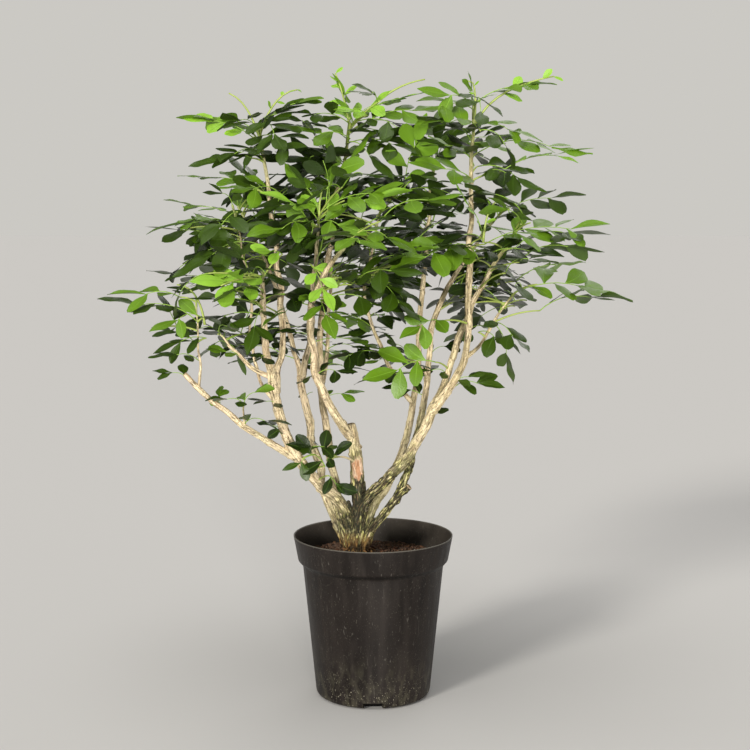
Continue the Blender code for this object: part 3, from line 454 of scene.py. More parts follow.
# Leaves that stand out singly on the front: foot, tip, age, scale, and how far they turn to the front
FRONT_LEAVES = (
    ((-0.053, -0.070, 0.505), (0.035, -0.085, 0.540), YOUNG, 1.0, 0.7),
    ((-0.054, -0.070, 0.511), (-0.082, -0.060, 0.564), FRESH, 0.9, 0.7),
    ((-0.055, -0.070, 0.505), (-0.102, -0.105, 0.537), YOUNG, 1.0, 0.7),
    ((-0.054, -0.072, 0.501), (-0.008, -0.120, 0.496), FRESH, 0.9, 0.7),
    ((-0.057, -0.070, 0.498), (-0.117, -0.125, 0.493), FRESH, 1.0, 0.7),
    ((-0.064, -0.060, 0.461), (-0.040, -0.105, 0.421), YOUNG, 0.62, 0.7),
    ((-0.089, -0.080, 0.471), (-0.113, -0.110, 0.477), YOUNG, 0.7, 0.7),
    ((-0.109, -0.090, 0.436), (-0.168, -0.135, 0.451), YOUNG, 1.0, 0.7),
    ((-0.118, -0.095, 0.430), (-0.132, -0.150, 0.465), YOUNG, 0.8, 0.7),
    ((-0.198, -0.030, 0.426), (-0.269, -0.042, 0.433), FRESH, 0.95, 0.45),
    ((-0.174, -0.036, 0.405), (-0.224, -0.075, 0.403), FRESH, 0.9, 0.7),
    ((-0.171, -0.032, 0.384), (-0.230, -0.025, 0.374), MIDDLE, 0.8, 0.7),
    ((-0.132, -0.040, 0.498), (-0.227, -0.050, 0.503), FRESH, 1.0, 0.45),
    ((-0.125, 0.000, 0.590), (-0.198, -0.005, 0.618), YOUNG, 0.85, 0.50),
    ((-0.125, -0.005, 0.568), (-0.190, -0.010, 0.566), MIDDLE, 0.95, 0.45),
    ((-0.093, -0.030, 0.529), (-0.151, -0.060, 0.543), FRESH, 0.9, 0.7),
    ((-0.111, -0.060, 0.479), (-0.199, -0.090, 0.463), MIDDLE, 1.0, 0.7),
    ((-0.021, 0.010, 0.602), (-0.036, -0.015, 0.632), YOUNG, 0.8, 0.7),
    ((-0.018, 0.010, 0.606), (0.016, 0.000, 0.640), YOUNG, 0.8, 0.7),
    ((-0.014, 0.010, 0.600), (0.081, 0.000, 0.627), FRESH, 1.0, 0.45),
    ((-0.024, 0.010, 0.589), (-0.091, 0.000, 0.599), FRESH, 1.0, 0.45),
    ((-0.022, 0.000, 0.585), (0.052, -0.060, 0.577), MIDDLE, 1.0, 0.7),
    ((0.107, -0.020, 0.573), (0.222, -0.030, 0.581), FRESH, 1.0, 0.45),
    ((0.103, -0.020, 0.598), (0.172, -0.040, 0.593), FRESH, 0.85, 0.45),
    ((0.107, -0.022, 0.559), (0.171, -0.070, 0.540), MIDDLE, 0.95, 0.7),
    ((0.103, -0.022, 0.560), (0.059, -0.035, 0.594), FRESH, 0.9, 0.45),
    ((0.103, -0.024, 0.544), (0.041, -0.080, 0.565), FRESH, 1.0, 0.45),
    ((0.110, -0.050, 0.486), (0.085, -0.070, 0.543), YOUNG, 0.75, 0.7),
    ((0.112, -0.045, 0.480), (0.236, -0.055, 0.502), FRESH, 1.05, 0.45),
    ((0.112, -0.050, 0.467), (0.183, -0.095, 0.479), DEEP, 0.9, 0.7),
    ((0.108, -0.050, 0.474), (0.017, -0.125, 0.464), FRESH, 1.05, 0.7),
    ((0.147, -0.025, 0.431), (0.262, -0.022, 0.435), FRESH, 1.05, 0.45),
    ((0.067, -0.060, 0.403), (0.028, -0.110, 0.397), FRESH, 0.85, 0.7),
    ((0.065, -0.030, 0.359), (-0.010, -0.060, 0.347), FRESH, 1.0, 0.7),
    ((0.085, -0.028, 0.334), (0.134, -0.040, 0.341), MIDDLE, 0.8, 0.7),
    ((0.108, -0.030, 0.390), (0.141, -0.070, 0.382), MIDDLE, 0.8, 0.7),
    # The low leaves by the trunk take the darkest greens, partly as painted shade under the crown
    ((-0.050, -0.028, 0.250), (-0.082, -0.052, 0.282), DEEP, 0.85, 1.1),
    ((-0.046, -0.028, 0.240), (-0.030, -0.050, 0.226), DEEP, 0.80, 1.1),
    ((-0.048, -0.028, 0.256), (-0.030, -0.050, 0.272), DEEP, 0.80, 1.1),
    ((-0.060, -0.026, 0.262), (-0.092, -0.040, 0.246), MIDDLE, 0.70, 1.1),
    ((-0.052, -0.026, 0.262), (-0.056, -0.060, 0.284), DEEP, 0.80, 1.1),
    ((-0.006, 0.000, 0.612), (-0.038, -0.035, 0.620), YOUNG, 0.85, 1.0),
)

# Small sprouts on the boughs: the limb, the share of its length, and the bearing in degrees from +X
SPROUTS = (
    ("low_left_bough", 0.97, 170), ("low_left_bough", 0.66, 100), ("left_leader", 0.86, 230),
    ("left_leader", 0.62, 150), ("left_outer_bough", 0.45, 250), ("left_side_branch", 0.7, 200),
    ("mid_left_stem", 0.80, 60), ("mid_left_stem", 0.93, 300), ("mid_back_stem", 0.60, 20),
    ("mid_back_stem", 0.80, 140), ("centre_branch", 0.55, 340), ("centre_branch", 0.80, 200),
    ("right_leader", 0.93, 60), ("right_outer_bough", 0.40, 350),
    ("right_inner_stub", 0.70, 210), ("right_back_stem", 0.62, 160), ("right_back_stem", 0.85, 30),
    ("back_right_stem", 0.75, 60), ("inner_cross_twig", 0.45, 240),
)

# Limbs that carry leaves below the masses, with about how many
SKIRT = (
    ("left_outer_bough", 3), ("left_inner_bough", 3), ("left_side_branch", 3), ("left_thin_branch", 2),
    ("mid_left_fork", 3), ("mid_left_stub", 4), ("mid_back_stem", 3), ("mid_back_fork", 4),
    ("right_inner_stub", 3), ("right_outer_bough", 3), ("right_back_stem", 3), ("back_right_stem", 4),
    ("inner_cross_twig", 4), ("right_side_twig", 2), ("centre_branch", 2),
)

# Limbs that end in an old pruning cut
PRUNED_LIMBS = ("low_left_bough", "centre_stub", "low_right_stub", "mid_left_stem", "left_leader")


def unit(vectors):
    """The vectors at a length of 1."""
    vectors = np.asarray(vectors, float)
    return vectors / np.linalg.norm(vectors, axis=-1, keepdims=True)


def arc(foot, bend, tip, spans):
    """Points along the curve that leaves the foot towards the bend and reaches the tip."""
    t = np.linspace(0, 1, spans + 1)[:, None]
    return (1 - t) ** 2 * np.array(foot) + 2 * t * (1 - t) * np.array(bend) + t**2 * np.array(tip)


def on_line(points, shares):
    """The places at these shares of the length of a line of points."""
    lengths = np.linalg.norm(np.diff(points, axis=0), axis=1)
    travelled = np.concatenate(([0], np.cumsum(lengths)))
    wanted = np.asarray(shares) * travelled[-1]
    return np.stack([np.interp(wanted, travelled, points[:, axis]) for axis in range(3)], axis=-1)


def round_angles(count):
    """Angles at equal steps round a circle."""
    return np.arange(count) * math.tau / count


def slanting(bearing, rise):
    """The direction on this bearing that rises this much for each length that it goes outward."""
    return unit((math.cos(bearing), math.sin(bearing), rise))


def line_length(points):
    """The length of a line of points."""
    return np.linalg.norm(np.diff(points, axis=0), axis=1).sum()


def square_to(heading, helper):
    """Two directions at right angles to a heading and to each other, the first also to the helper."""
    side = unit(np.cross(heading, helper))
    return side, np.cross(heading, side)


def leaflet_axes(along, normals):
    """Each leaflet's three axes: along it, across it, and out of its face."""
    right = unit(np.cross(normals, along))
    return np.stack((along, right, np.cross(along, right)), axis=1)


def smooth_noise(points, cell, seed):
    """Noise from -1 to 1: seeded values at the corners of cubic cells, blended across each cell."""
    table = np.random.default_rng(seed).uniform(-1, 1, (16, 16, 16))
    scaled = np.asarray(points) / cell
    corner = np.floor(scaled).astype(int)
    blend = scaled - corner
    blend = blend * blend * (3 - 2 * blend)
    total = 0
    for offset in np.ndindex(2, 2, 2):
        weights = np.where(offset, blend, 1 - blend).prod(axis=-1)
        i, j, k = np.moveaxis((corner + offset) % 16, -1, 0)
        total = total + weights * table[i, j, k]
    return total


def lattice_faces(rows, columns, closed=True):
    """The four-cornered faces between neighbouring rows and columns of a grid of points."""
    i, j = np.meshgrid(np.arange(rows - 1), np.arange(columns if closed else columns - 1), indexing="ij")
    following = (j + 1) % columns
    row, next_row = i * columns, (i + 1) * columns
    return np.stack((row + j, row + following, next_row + following, next_row + j), axis=-1).reshape(-1, 4)


def tube_faces(rows, columns):
    """The faces of a tube: its lattice, and the fans that close its ends on two points stored after it."""
    j = np.arange(columns)
    following = (j + 1) % columns
    start = np.full(columns, rows * columns)
    last = (rows - 1) * columns
    first_fan = np.stack((start, following, j), axis=-1)
    last_fan = np.stack((start + 1, last + j, last + following), axis=-1)
    return [lattice_faces(rows, columns), np.concatenate((first_fan, last_fan))]


def repeated(faces, copies, points_each):
    """The faces of one shape, repeated for copies that follow each other in the list of points."""
    offsets = np.arange(copies)[:, None, None] * points_each
    return (faces[None] + offsets).reshape(-1, faces.shape[1])


def ring_frames(paths):
    """Two directions across each point of the paths: at right angles to the path, with no twist."""
    tangents = unit(np.gradient(paths, axis=-2))
    chord = unit(paths[..., -1, :] - paths[..., 0, :])
    steepest = np.abs(chord[..., 2:]) > 0.8
    helper = np.where(steepest, (1.0, 0.0, 0.0), (0.0, 0.0, 1.0))
    steady = unit(np.cross(chord, helper))[..., None, :]
    return square_to(tangents, steady)


def tubes(paths, radii, sides):
    """Closed tubes: a circle of so many sides, scaled by the radii, is carried along each path.

    paths holds (tube, ring, xyz), and radii (tube, ring) or (tube, ring, side). It returns points and faces.
    """
    side, upward = ring_frames(paths)
    angles = round_angles(sides)[:, None]
    circle = side[:, :, None] * np.cos(angles) + upward[:, :, None] * np.sin(angles)
    if radii.ndim == 2:
        radii = radii[:, :, None]
    rings = paths[:, :, None] + circle * radii[..., None]
    count, rows = paths.shape[:2]
    points = np.concatenate((rings.reshape(count, -1, 3), paths[:, [0, -1]]), axis=1)
    shape = tube_faces(rows, sides)
    return points.reshape(-1, 3), [repeated(faces, count, rows * sides + 2) for faces in shape]


def joined(shapes):
    """Several (points, faces) shapes as one."""
    points, faces, offset = [], [], 0
    for shape_points, shape_faces in shapes:
        points.append(shape_points)
        faces.extend(group + offset for group in shape_faces)
        offset += len(shape_points)
    return np.concatenate(points), faces


def make_mesh(name, points, faces, fields):
    """A mesh from an array of points and arrays of faces, with named values kept at its points."""
    mesh = bpy.data.meshes.new(name)
    mesh.vertices.add(len(points))
    mesh.vertices.foreach_set("co", np.asarray(points, np.float32).ravel())
    corners = np.concatenate([group.ravel() for group in faces]).astype(np.int32)
    sizes = np.concatenate([np.full(len(group), group.shape[1]) for group in faces])
    mesh.loops.add(len(corners))
    mesh.loops.foreach_set("vertex_index", corners)
    mesh.polygons.add(len(sizes))
    mesh.polygons.foreach_set("loop_start", (np.cumsum(sizes) - sizes).astype(np.int32))
    mesh.update(calc_edges=True)
    mesh.shade_smooth()
    for field, values in fields.items():
        values = np.asarray(values, np.float32)
        kind, key = ("FLOAT_VECTOR", "vector") if values.ndim == 2 else ("FLOAT", "value")
        mesh.attributes.new(field, kind, "POINT").data.foreach_set(key, values.ravel())
    return mesh


def add_object(name, data):
    """A new object in the scene."""
    thing = bpy.data.objects.new(name, data)
    bpy.context.scene.collection.objects.link(thing)
    return thing


def make_piece(name, shape, material, nodes=(), fields=None):
    """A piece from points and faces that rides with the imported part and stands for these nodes."""
    mesh = make_mesh(name, *shape, fields or {})
    mesh.materials.append(material)
    piece = add_object(name, mesh)
    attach(piece, "root")
    if nodes:
        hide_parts(*nodes)
    return mesh


# Materials


def put(socket, value):
    """Sets a socket to a number or colour, or links it to another node's output."""
    if isinstance(value, bpy.types.NodeSocket):
        socket.id_data.links.new(value, socket)
    else:
        socket.default_value = value


def mixed(tree, mask, below, above):
    """The output of a node that mixes from one colour to another by a mask."""
    node = tree.nodes.new("ShaderNodeMix")
    node.data_type = "RGBA"
    put(node.inputs["Factor"], mask)
    put(node.inputs[6], below)
    put(node.inputs[7], above)
    return node.outputs[2]


def tinted(colour, factor, more=0.0):
    """A colour lightened or darkened by a factor, with this much more of every light."""
    return tuple(channel * factor + more for channel in colour)


def make_patches_group():
    """Shader group: noise on stretched coordinates, turned into a mask between a low and a high level."""
    tree = bpy.data.node_groups.new("patches", "ShaderNodeTree")
    sockets = {"Vector": "Vector", "Stretch": "Vector", "Low": "Float", "High": "Float"}
    for name, kind in sockets.items():
        tree.interface.new_socket(name, in_out="INPUT", socket_type="NodeSocket" + kind)
    tree.interface.new_socket("Mask", in_out="OUTPUT", socket_type="NodeSocketFloat")
    source = tree.nodes.new("NodeGroupInput").outputs
    stretch = tree.nodes.new("ShaderNodeVectorMath")
    stretch.operation = "MULTIPLY"
    noise = tree.nodes.new("ShaderNodeTexNoise")
    levels = tree.nodes.new("ShaderNodeMapRange")
    put(stretch.inputs[0], source["Vector"])
    put(stretch.inputs[1], source["Stretch"])
    put(noise.inputs["Vector"], stretch.outputs[0])
    put(noise.inputs["Scale"], 1.0)
    put(noise.inputs["Detail"], 4.0)
    put(levels.inputs["Value"], noise.outputs["Fac"])
    put(levels.inputs["From Min"], source["Low"])
    put(levels.inputs["From Max"], source["High"])
    put(tree.nodes.new("NodeGroupOutput").inputs["Mask"], levels.outputs["Result"])
    return tree


PATCHES = make_patches_group()


class Finish:
    """A material in the making: colours are laid over each other by masks, then fed to its shader.

    Its patches are read in pattern, which is Object coordinates unless the material sets another field.
    """

    def __init__(self, name, colour, roughness, specular=0.5):
        self.material = bpy.data.materials.new(name)
        self.material.use_nodes = True
        self.tree = self.material.node_tree
        self.shader = self.tree.nodes["Principled BSDF"].inputs
        self.shader["Base Color"].default_value = (*colour, 1)
        self.shader["Roughness"].default_value = roughness
        self.shader["Specular IOR Level"].default_value = specular
        self.shader["Metallic"].default_value = 0.0
        self.place = self.node("ShaderNodeTexCoord").outputs["Object"]
        self.pattern = self.place

    def node(self, kind, **settings):
        """A new node with these settings."""
        node = self.tree.nodes.new(kind)
        for key, value in settings.items():
            setattr(node, key, value)
        return node

    def field(self, name, output="Fac"):
        """A named value kept at the mesh's points."""
        return self.node("ShaderNodeAttribute", attribute_name=name).outputs[output]

    def patches(self, stretch, low, high, label="", pattern=None):
        """A mask of patches: stretch is how many there are to a metre along each axis."""
        node = self.node("ShaderNodeGroup", node_tree=PATCHES, label=label)
        pattern = pattern or self.pattern
        for key, value in (("Vector", pattern), ("Stretch", stretch), ("Low", low), ("High", high)):
            put(node.inputs[key], value)
        return node.outputs["Mask"]

    def ranged(self, value, low, high, at_low=0.0, at_high=1.0):
        """A value carried from one range to another, and held at its ends."""
        node = self.node("ShaderNodeMapRange")
        for key, number in (("Value", value), ("From Min", low), ("From Max", high),
                            ("To Min", at_low), ("To Max", at_high)):
            put(node.inputs[key], number)
        return node.outputs["Result"]

    def height(self, low, high, at_low=0.0, at_high=1.0, axis="Z"):
        """A mask that changes with height, or along another axis, between two levels."""
        axes = self.node("ShaderNodeSeparateXYZ")
        put(axes.inputs[0], self.place)
        return self.ranged(axes.outputs[axis], low, high, at_low, at_high)

    def near(self, point, reach):
        """A mask that is 1 near a point and falls to 0 at its reach."""
        node = self.node("ShaderNodeVectorMath", operation="DISTANCE")
        put(node.inputs[0], self.place)
        put(node.inputs[1], point)
        return self.ranged(node.outputs["Value"], reach * 0.6, reach, 1.0, 0.0)

    def times(self, *factors):
        """The product of masks and numbers."""
        product = factors[0]
        for factor in factors[1:]:
            node = self.node("ShaderNodeMath", operation="MULTIPLY")
            put(node.inputs[0], product)
            put(node.inputs[1], factor)
            product = node.outputs[0]
        return product

    def lay(self, colour, *factors):
        """Lays a colour over what is there, as strongly as the product of these masks and numbers."""
        socket = self.shader["Base Color"]
        below = socket.links[0].from_socket if socket.is_linked else tuple(socket.default_value)
        put(socket, mixed(self.tree, self.times(*factors), below, (*colour, 1)))

    def spread(self, label, stretch, low, high, colour, *factors):
        """Lays a colour in patches, and returns the mask of the patches."""
        patches = self.patches(stretch, low, high, label)
        self.lay(colour, patches, *factors)
        return patches

    def roughen(self, mask, low, high):
        """Roughness from a low to a high value by a mask."""
        put(self.shader["Roughness"], self.ranged(mask, 0, 1, low, high))

    def emboss(self, mask, depth):
        """Relief of this depth, in metres, by a mask, over the relief that is there already."""
        node = self.node("ShaderNodeBump")
        put(node.inputs["Strength"], 1.0)
        put(node.inputs["Distance"], depth)
        put(node.inputs["Height"], mask)
        socket = self.shader["Normal"]
        if socket.is_linked:
            put(node.inputs["Normal"], socket.links[0].from_socket)
        put(socket, node.outputs["Normal"])


def pot_plastic():
    """Black moulded plastic: drawn streaks, pale scuffs, and lime specks that gather near the foot.

    The field inside marks the pot's inner face, painted lighter as light falling into the pot, and another
    field the back walls of its slots, painted near black as shade. A dark line of painted shade runs in the
    step under the band, and a pale line round the rim's top is partly wear and partly a painted highlight.
    """
    finish = Finish("pot_plastic", (0.0066, 0.0043, 0.0033), 0.5, specular=0.22)
    streaks = finish.spread("streaks", (110, 110, 7), 0.45, 0.72, (0.026, 0.020, 0.0165), 0.50)
    finish.spread("dust", (26, 26, 14), 0.40, 0.75, (0.032, 0.025, 0.021), 0.35)
    band_foot = POT_HEIGHT - BAND_HEIGHT
    # Painted shade: a near-black line in the step just under the band's foot, where the band overhangs it
    crease_shade = finish.times(finish.height(band_foot - 0.0052, band_foot - 0.0040),
                          finish.height(band_foot - 0.0018, band_foot - 0.0006, 1.0, 0.0))
    finish.lay((0.003, 0.002, 0.0015), crease_shade, 0.75)
    # Painted light: the inner face is laid much lighter than the outside, as light falling into the pot, and
    # lighter clouds are laid over it
    inside = finish.field("inside")
    finish.lay((0.054, 0.046, 0.038), inside, 0.85)
    finish.spread("inner_clouds", (60, 60, 90), 0.45, 0.75, (0.075, 0.064, 0.052), inside, 0.5)
    finish.spread("scuffs", (420, 420, 150), 0.66, 0.72, (0.15, 0.14, 0.12), 0.35)
    finish.spread("drips", (310, 310, 16), 0.66, 0.74, (0.11, 0.10, 0.085), 0.30)
    foot = finish.height(0.0, 0.060, 1.0, 0.0)
    finish.spread("film", (160, 160, 60), 0.46, 0.66, (0.098, 0.090, 0.058), foot, 0.42)
    clusters = finish.patches((95, 95, 60), 0.38, 0.54, "clusters")
    sparse = finish.height(0.004, 0.042, 1.0, 0.10)
    specks = finish.spread("specks", (900, 900, 460), 0.63, 0.675, (0.36, 0.33, 0.24), clusters, sparse, 0.9)
    # A pale line round the rim's top edge: partly edge wear, partly a painted highlight
    rim = finish.height(POT_HEIGHT - 0.0012, POT_HEIGHT - 0.0003)
    finish.lay((0.16, 0.148, 0.125), rim, 0.6)
    # Painted shade: the slots' back walls are laid near black, as the shade in the hollow under the pot, and
    # made rough so that they shine less
    hollow = finish.field("hollow")
    finish.lay((0.0010, 0.0008, 0.0006), hollow)
    shine = finish.times(finish.ranged(streaks, 0, 1, 0.56, 0.38), finish.ranged(hollow, 0, 1, 1.0, 0.0))
    finish.roughen(shine, 1.0, 0.0)
    finish.emboss(streaks, 0.00012)
    finish.emboss(specks, 0.00010)
    return finish.material


def soil_finish(name, colour, other, roughness=0.95):
    """Potting soil or what lies on it: two colours in small patches, with a crumbly relief."""
    finish = Finish(name, colour, roughness)
    finish.spread("patches", (300, 300, 300), 0.42, 0.62, other)
    finish.emboss(finish.patches((1400, 1400, 1400), 0.3, 0.7), 0.0006)
    return finish.material


def bark():
    """Bark: cream and smooth where it is young, and fissured, blackened and grown over with algae where old.

    Its patterns are read in the field grain, which runs along each limb, so they are drawn out lengthwise.
    The field age says how old it is, furrow how deep in a fissure a point lies, wound where the bark is torn
    off, and youth how green it is. The trunk's left flank is less overgrown than the rest. Old fissures are
    partly painted shade, dark patches between the roots at the foot are painted shade, and the torn-off wood
    is painted paler as light falling on it.
    """
    finish = Finish("bark", (0.900, 0.750, 0.490), 0.74, specular=0.30)
    finish.pattern = finish.field("grain", "Vector")
    age = finish.field("age")
    finish.spread("warm", (110, 110, 55), 0.40, 0.68, (0.860, 0.660, 0.470), 0.60)
    streaks = finish.spread("streaks", (430, 430, 42), 0.50, 0.57, (0.300, 0.205, 0.100), 0.62)
    overgrown = finish.height(-0.042, -0.032, 0.32, 1.0, axis="X")
    film_age = finish.ranged(age, 0, 1, 0.10, 0.85)
    film = finish.spread("film", (300, 300, 110), 0.34, 0.56, (0.700, 0.680, 0.210), overgrown, film_age)
    low_down = finish.height(0.235, 0.325, 0.55, 0.0)
    finish.spread("lichen", (150, 150, 60), 0.42, 0.62, (0.520, 0.500, 0.270), low_down)
    grown_over = finish.times(age, overgrown)
    finish.spread("moss", (700, 700, 170), 0.47, 0.58, (0.150, 0.170, 0.038), grown_over, 0.85)
    dark = finish.spread("dark", (640, 640, 125), 0.46, 0.53, (0.024, 0.022, 0.012), grown_over, 0.95)
    fork = finish.near((TRUNK_AXIS[0], TRUNK_AXIS[1] - 0.008, 0.202), 0.036)
    finish.spread("blotches", (150, 150, 60), 0.36, 0.50, (0.022, 0.024, 0.012), fork, grown_over, 0.86)
    # Partly painted shade: the fissures of old bark are laid near black, as shade deep in them over their own
    # dark bark
    finish.lay((0.018, 0.016, 0.010), finish.field("furrow"), age, 0.95)
    foot = finish.height(SOIL_LEVEL + 0.014, SOIL_LEVEL + 0.030, 1.0, 0.0)
    finish.spread("rust", (320, 320, 60), 0.36, 0.52, (0.480, 0.255, 0.075), foot, 0.85)
    # Painted shade: dark patches at the trunk's foot stand for the shade in the gaps between its root strands
    foot_gap_shade = finish.patches((310, 310, 48), 0.47, 0.53, "foot_gap_shade", finish.place)
    finish.lay((0.022, 0.013, 0.007), foot_gap_shade, foot, 0.94)
    flecks = finish.spread("flecks", (760, 760, 130), 0.575, 0.635, (0.130, 0.085, 0.042), 0.75)
    finish.spread("rings", (110, 110, 900), 0.60, 0.68, (0.200, 0.135, 0.070), 0.50)
    wound = finish.field("wound")
    # The torn-off wood is pale, and is laid paler still as painted light, for the light falling on the scar
    finish.lay((0.960, 0.700, 0.490), wound, 0.9)
    finish.spread("wound_streaks", (400, 400, 80), 0.46, 0.54, (0.560, 0.250, 0.110), wound, 0.80)
    finish.lay((0.300, 0.400, 0.095), finish.field("youth"))
    finish.roughen(film, 0.64, 0.86)
    finish.emboss(dark, 0.0007)
    finish.emboss(streaks, 0.0003)
    finish.emboss(flecks, 0.0003)
    return finish.material


def cut_wood():
    """An old cut across a limb: greyed wood, browner at its middle."""
    finish = Finish("cut_wood", (0.44, 0.34, 0.21), 0.85)
    finish.spread("patches", (500, 500, 500), 0.42, 0.62, (0.30, 0.20, 0.11))
    finish.lay((0.20, 0.11, 0.06), finish.field("pith"), 0.8)
    finish.emboss(finish.patches((1500, 1500, 1500), 0.3, 0.7), 0.0003)
    return finish.material


def green_wood(name, colour):
    """Young green bark of twigs and leaf stalks, and of the leaflets' midribs."""
    finish = Finish(name, colour, 0.5)
    finish.spread("patches", (400, 400, 400), 0.4, 0.7, tinted(colour, 1.4), 0.4)
    return finish.material


def leaf_finish(name, colour, roughness):
    """A leaf face: a green with faint darker clouds and a fine grain, and a paler underside."""
    finish = Finish(name, colour, roughness)
    clouds = finish.spread("clouds", (70, 70, 70), 0.35, 0.65, tinted(colour, 0.68), 0.40)
    underside = finish.node("ShaderNodeNewGeometry").outputs["Backfacing"]
    finish.lay(tinted(colour, 1.3, 0.008), underside, 0.65)
    finish.roughen(clouds, roughness, roughness + 0.14)
    finish.emboss(finish.patches((650, 650, 650), 0.3, 0.7), 0.00012)
    return finish.material


# Pot and soil


def rounded_profile(corners, radii, steps=5):
    """The line through the corners, with each corner replaced by an arc that starts its radius before it."""
    corners = np.array(corners, float)
    line = [corners[:1]]
    for before, corner, after, radius in zip(corners, corners[1:], corners[2:], radii[1:]):
        start = corner + unit(before - corner) * radius
        end = corner + unit(after - corner) * radius
        t = np.linspace(0, 1, steps)[:, None]
        line.append((1 - t) ** 2 * start + 2 * t * (1 - t) * corner + t**2 * end)
    line.append(corners[-1:])
    return np.concatenate(line)


def spaced(profile, step):
    """The profile with further points, so that none lie more than a step apart."""
    lengths = np.linalg.norm(np.diff(profile, axis=0), axis=1)
    counts = np.maximum(1, np.ceil(lengths / step)).astype(int)
    shares = np.concatenate([i + np.arange(n) / n for i, n in enumerate(counts)] + [[len(counts)]])
    corners = np.arange(len(profile))
    return np.stack([np.interp(shares, corners, profile[:, axis]) for axis in (0, 1)], axis=-1)


def revolved(profile, bearings):
    """A profile of (radius, height), from the axis and back to it, carried round it over these bearings."""
    radius, height = profile[1:-1].T
    x = radius[:, None] * np.cos(bearings)
    y = radius[:, None] * np.sin(bearings)
    grid = np.stack((x, y, np.broadcast_to(height[:, None], x.shape)), axis=-1)
    poles = np.array([(0, 0, profile[0, 1]), (0, 0, profile[-1, 1])])
    return grid, poles, tube_faces(*x.shape)


def pot_profile():
    """The pot's outline from the axis out, up, over the rim and back, with the rows for the slots' backs."""
    step_level = POT_HEIGHT - BAND_HEIGHT - STEP_DROP
    band_level = POT_HEIGHT - BAND_HEIGHT
    corners = (
        (0, 0), (BASE_RADIUS, 0), (BODY_TOP_RADIUS, step_level), (BAND_FOOT_RADIUS, band_level),
        (RIM_RADIUS, POT_HEIGHT), (RIM_RADIUS - WALL, POT_HEIGHT), (BAND_FOOT_RADIUS - WALL, band_level),
        (BODY_TOP_RADIUS - WALL, step_level), (BASE_RADIUS - WALL, HIDDEN_FLOOR), (0, HIDDEN_FLOOR),
    )
    profile = spaced(rounded_profile(corners, POT_CORNERS), POT_STEP)
    back_rows = ((SLOT_BACK - SLOT_EDGE, 0), (SLOT_BACK + SLOT_EDGE, 0))
    return np.concatenate((profile[:SLOT_ROW], back_rows, profile[SLOT_ROW:]))


def make_pot(material):
    """The pot: its profile turned round the axis, and raised where the slots cut into its foot."""
    profile = pot_profile()
    slots = round_angles(SLOT_COUNT) - math.pi / 2
    half = SLOT_WIDTH / 2 / BASE_RADIUS
    edge = SLOT_EDGE / BASE_RADIUS
    sides = (slots[:, None] + np.array((-half - edge, -half, half, half + edge))).ravel()
    bearings = np.unique(np.concatenate((round_angles(POT_COLUMNS), sides % math.tau)))
    grid, poles, faces = revolved(profile, bearings)
    radius = profile[1:-1, :1]
    away = np.abs((bearings[:, None] - slots + math.pi) % math.tau - math.pi).min(axis=1)
    cut = away <= half + edge / 2
    raised = cut & (radius >= SLOT_BACK) & (grid[..., 2] < SLOT_HEIGHT)
    grid[..., 2] = np.where(raised, SLOT_HEIGHT, grid[..., 2])
    rise = grid[..., 2] / POT_HEIGHT
    grid[..., :2] *= (1 + RIM_WARP * rise**3 * np.cos(2 * bearings + 0.6))[..., None]
    rim_row = profile[1:-1, 1].argmax()
    inner_rows = np.arange(len(grid)) > rim_row + 2
    fields = {
        "inside": np.append(np.repeat(inner_rows, len(bearings)), (False, True)),
        # Points on the slots' back walls, where the pot's material paints shade
        "hollow": np.append(cut & (np.abs(radius - SLOT_BACK) < 2 * SLOT_EDGE), (False, False)),
    }
    points = np.concatenate((grid.reshape(-1, 3), poles))
    mesh = make_piece("nursery_pot", (points, faces), material, ["pot"], fields)
    mesh.set_sharp_from_angle(angle=POT_SHARP_ANGLE)


def soil_height(x, y):
    """The soil's level: it heaps up round the trunk, and has lumps of three sizes."""
    heap = np.exp(-(np.hypot(x - MOUND_PLACE[0], y - MOUND_PLACE[1]) / MOUND_REACH) ** 2)
    flat = np.stack((x, y, np.zeros_like(x)), axis=-1)
    lumps = sum(height * smooth_noise(flat, cell, seed) for cell, height, seed in LUMPS)
    cell, height, seed = CRUMBS
    lumps = lumps + height * np.abs(smooth_noise(flat, cell, seed))
    return SOIL_LEVEL + SOIL_LIFT + MOUND_RISE * heap + lumps


def make_soil(materials):
    """The soil: a lumpy disc with a side and an underside, and crumbs, bark chips and grit on it."""
    radii = np.linspace(0, SOIL_RADIUS, SOIL_RINGS + 1)[::-1]
    top = np.stack((radii, np.full_like(radii, SOIL_LEVEL)), axis=-1)
    profile = np.concatenate((((0, SOIL_BOTTOM), (SOIL_RADIUS - 0.002, SOIL_BOTTOM)), top))
    grid, poles, faces = revolved(profile, round_angles(SOIL_COLUMNS))
    on_top = grid[..., 2] > SOIL_BOTTOM
    grid[..., 2] = np.where(on_top, soil_height(grid[..., 0], grid[..., 1]), grid[..., 2])
    poles[1, 2] = soil_height(*poles[1:, :2].T)[0]
    points = np.concatenate((grid.reshape(-1, 3), poles))
    make_piece("soil_bed", (points, faces), materials["soil"], ["soil"])
    for name, (count, size, flatness, seed, material) in LITTER.items():
        make_piece(name, scattered_lumps(count, size, flatness, seed), materials[material])


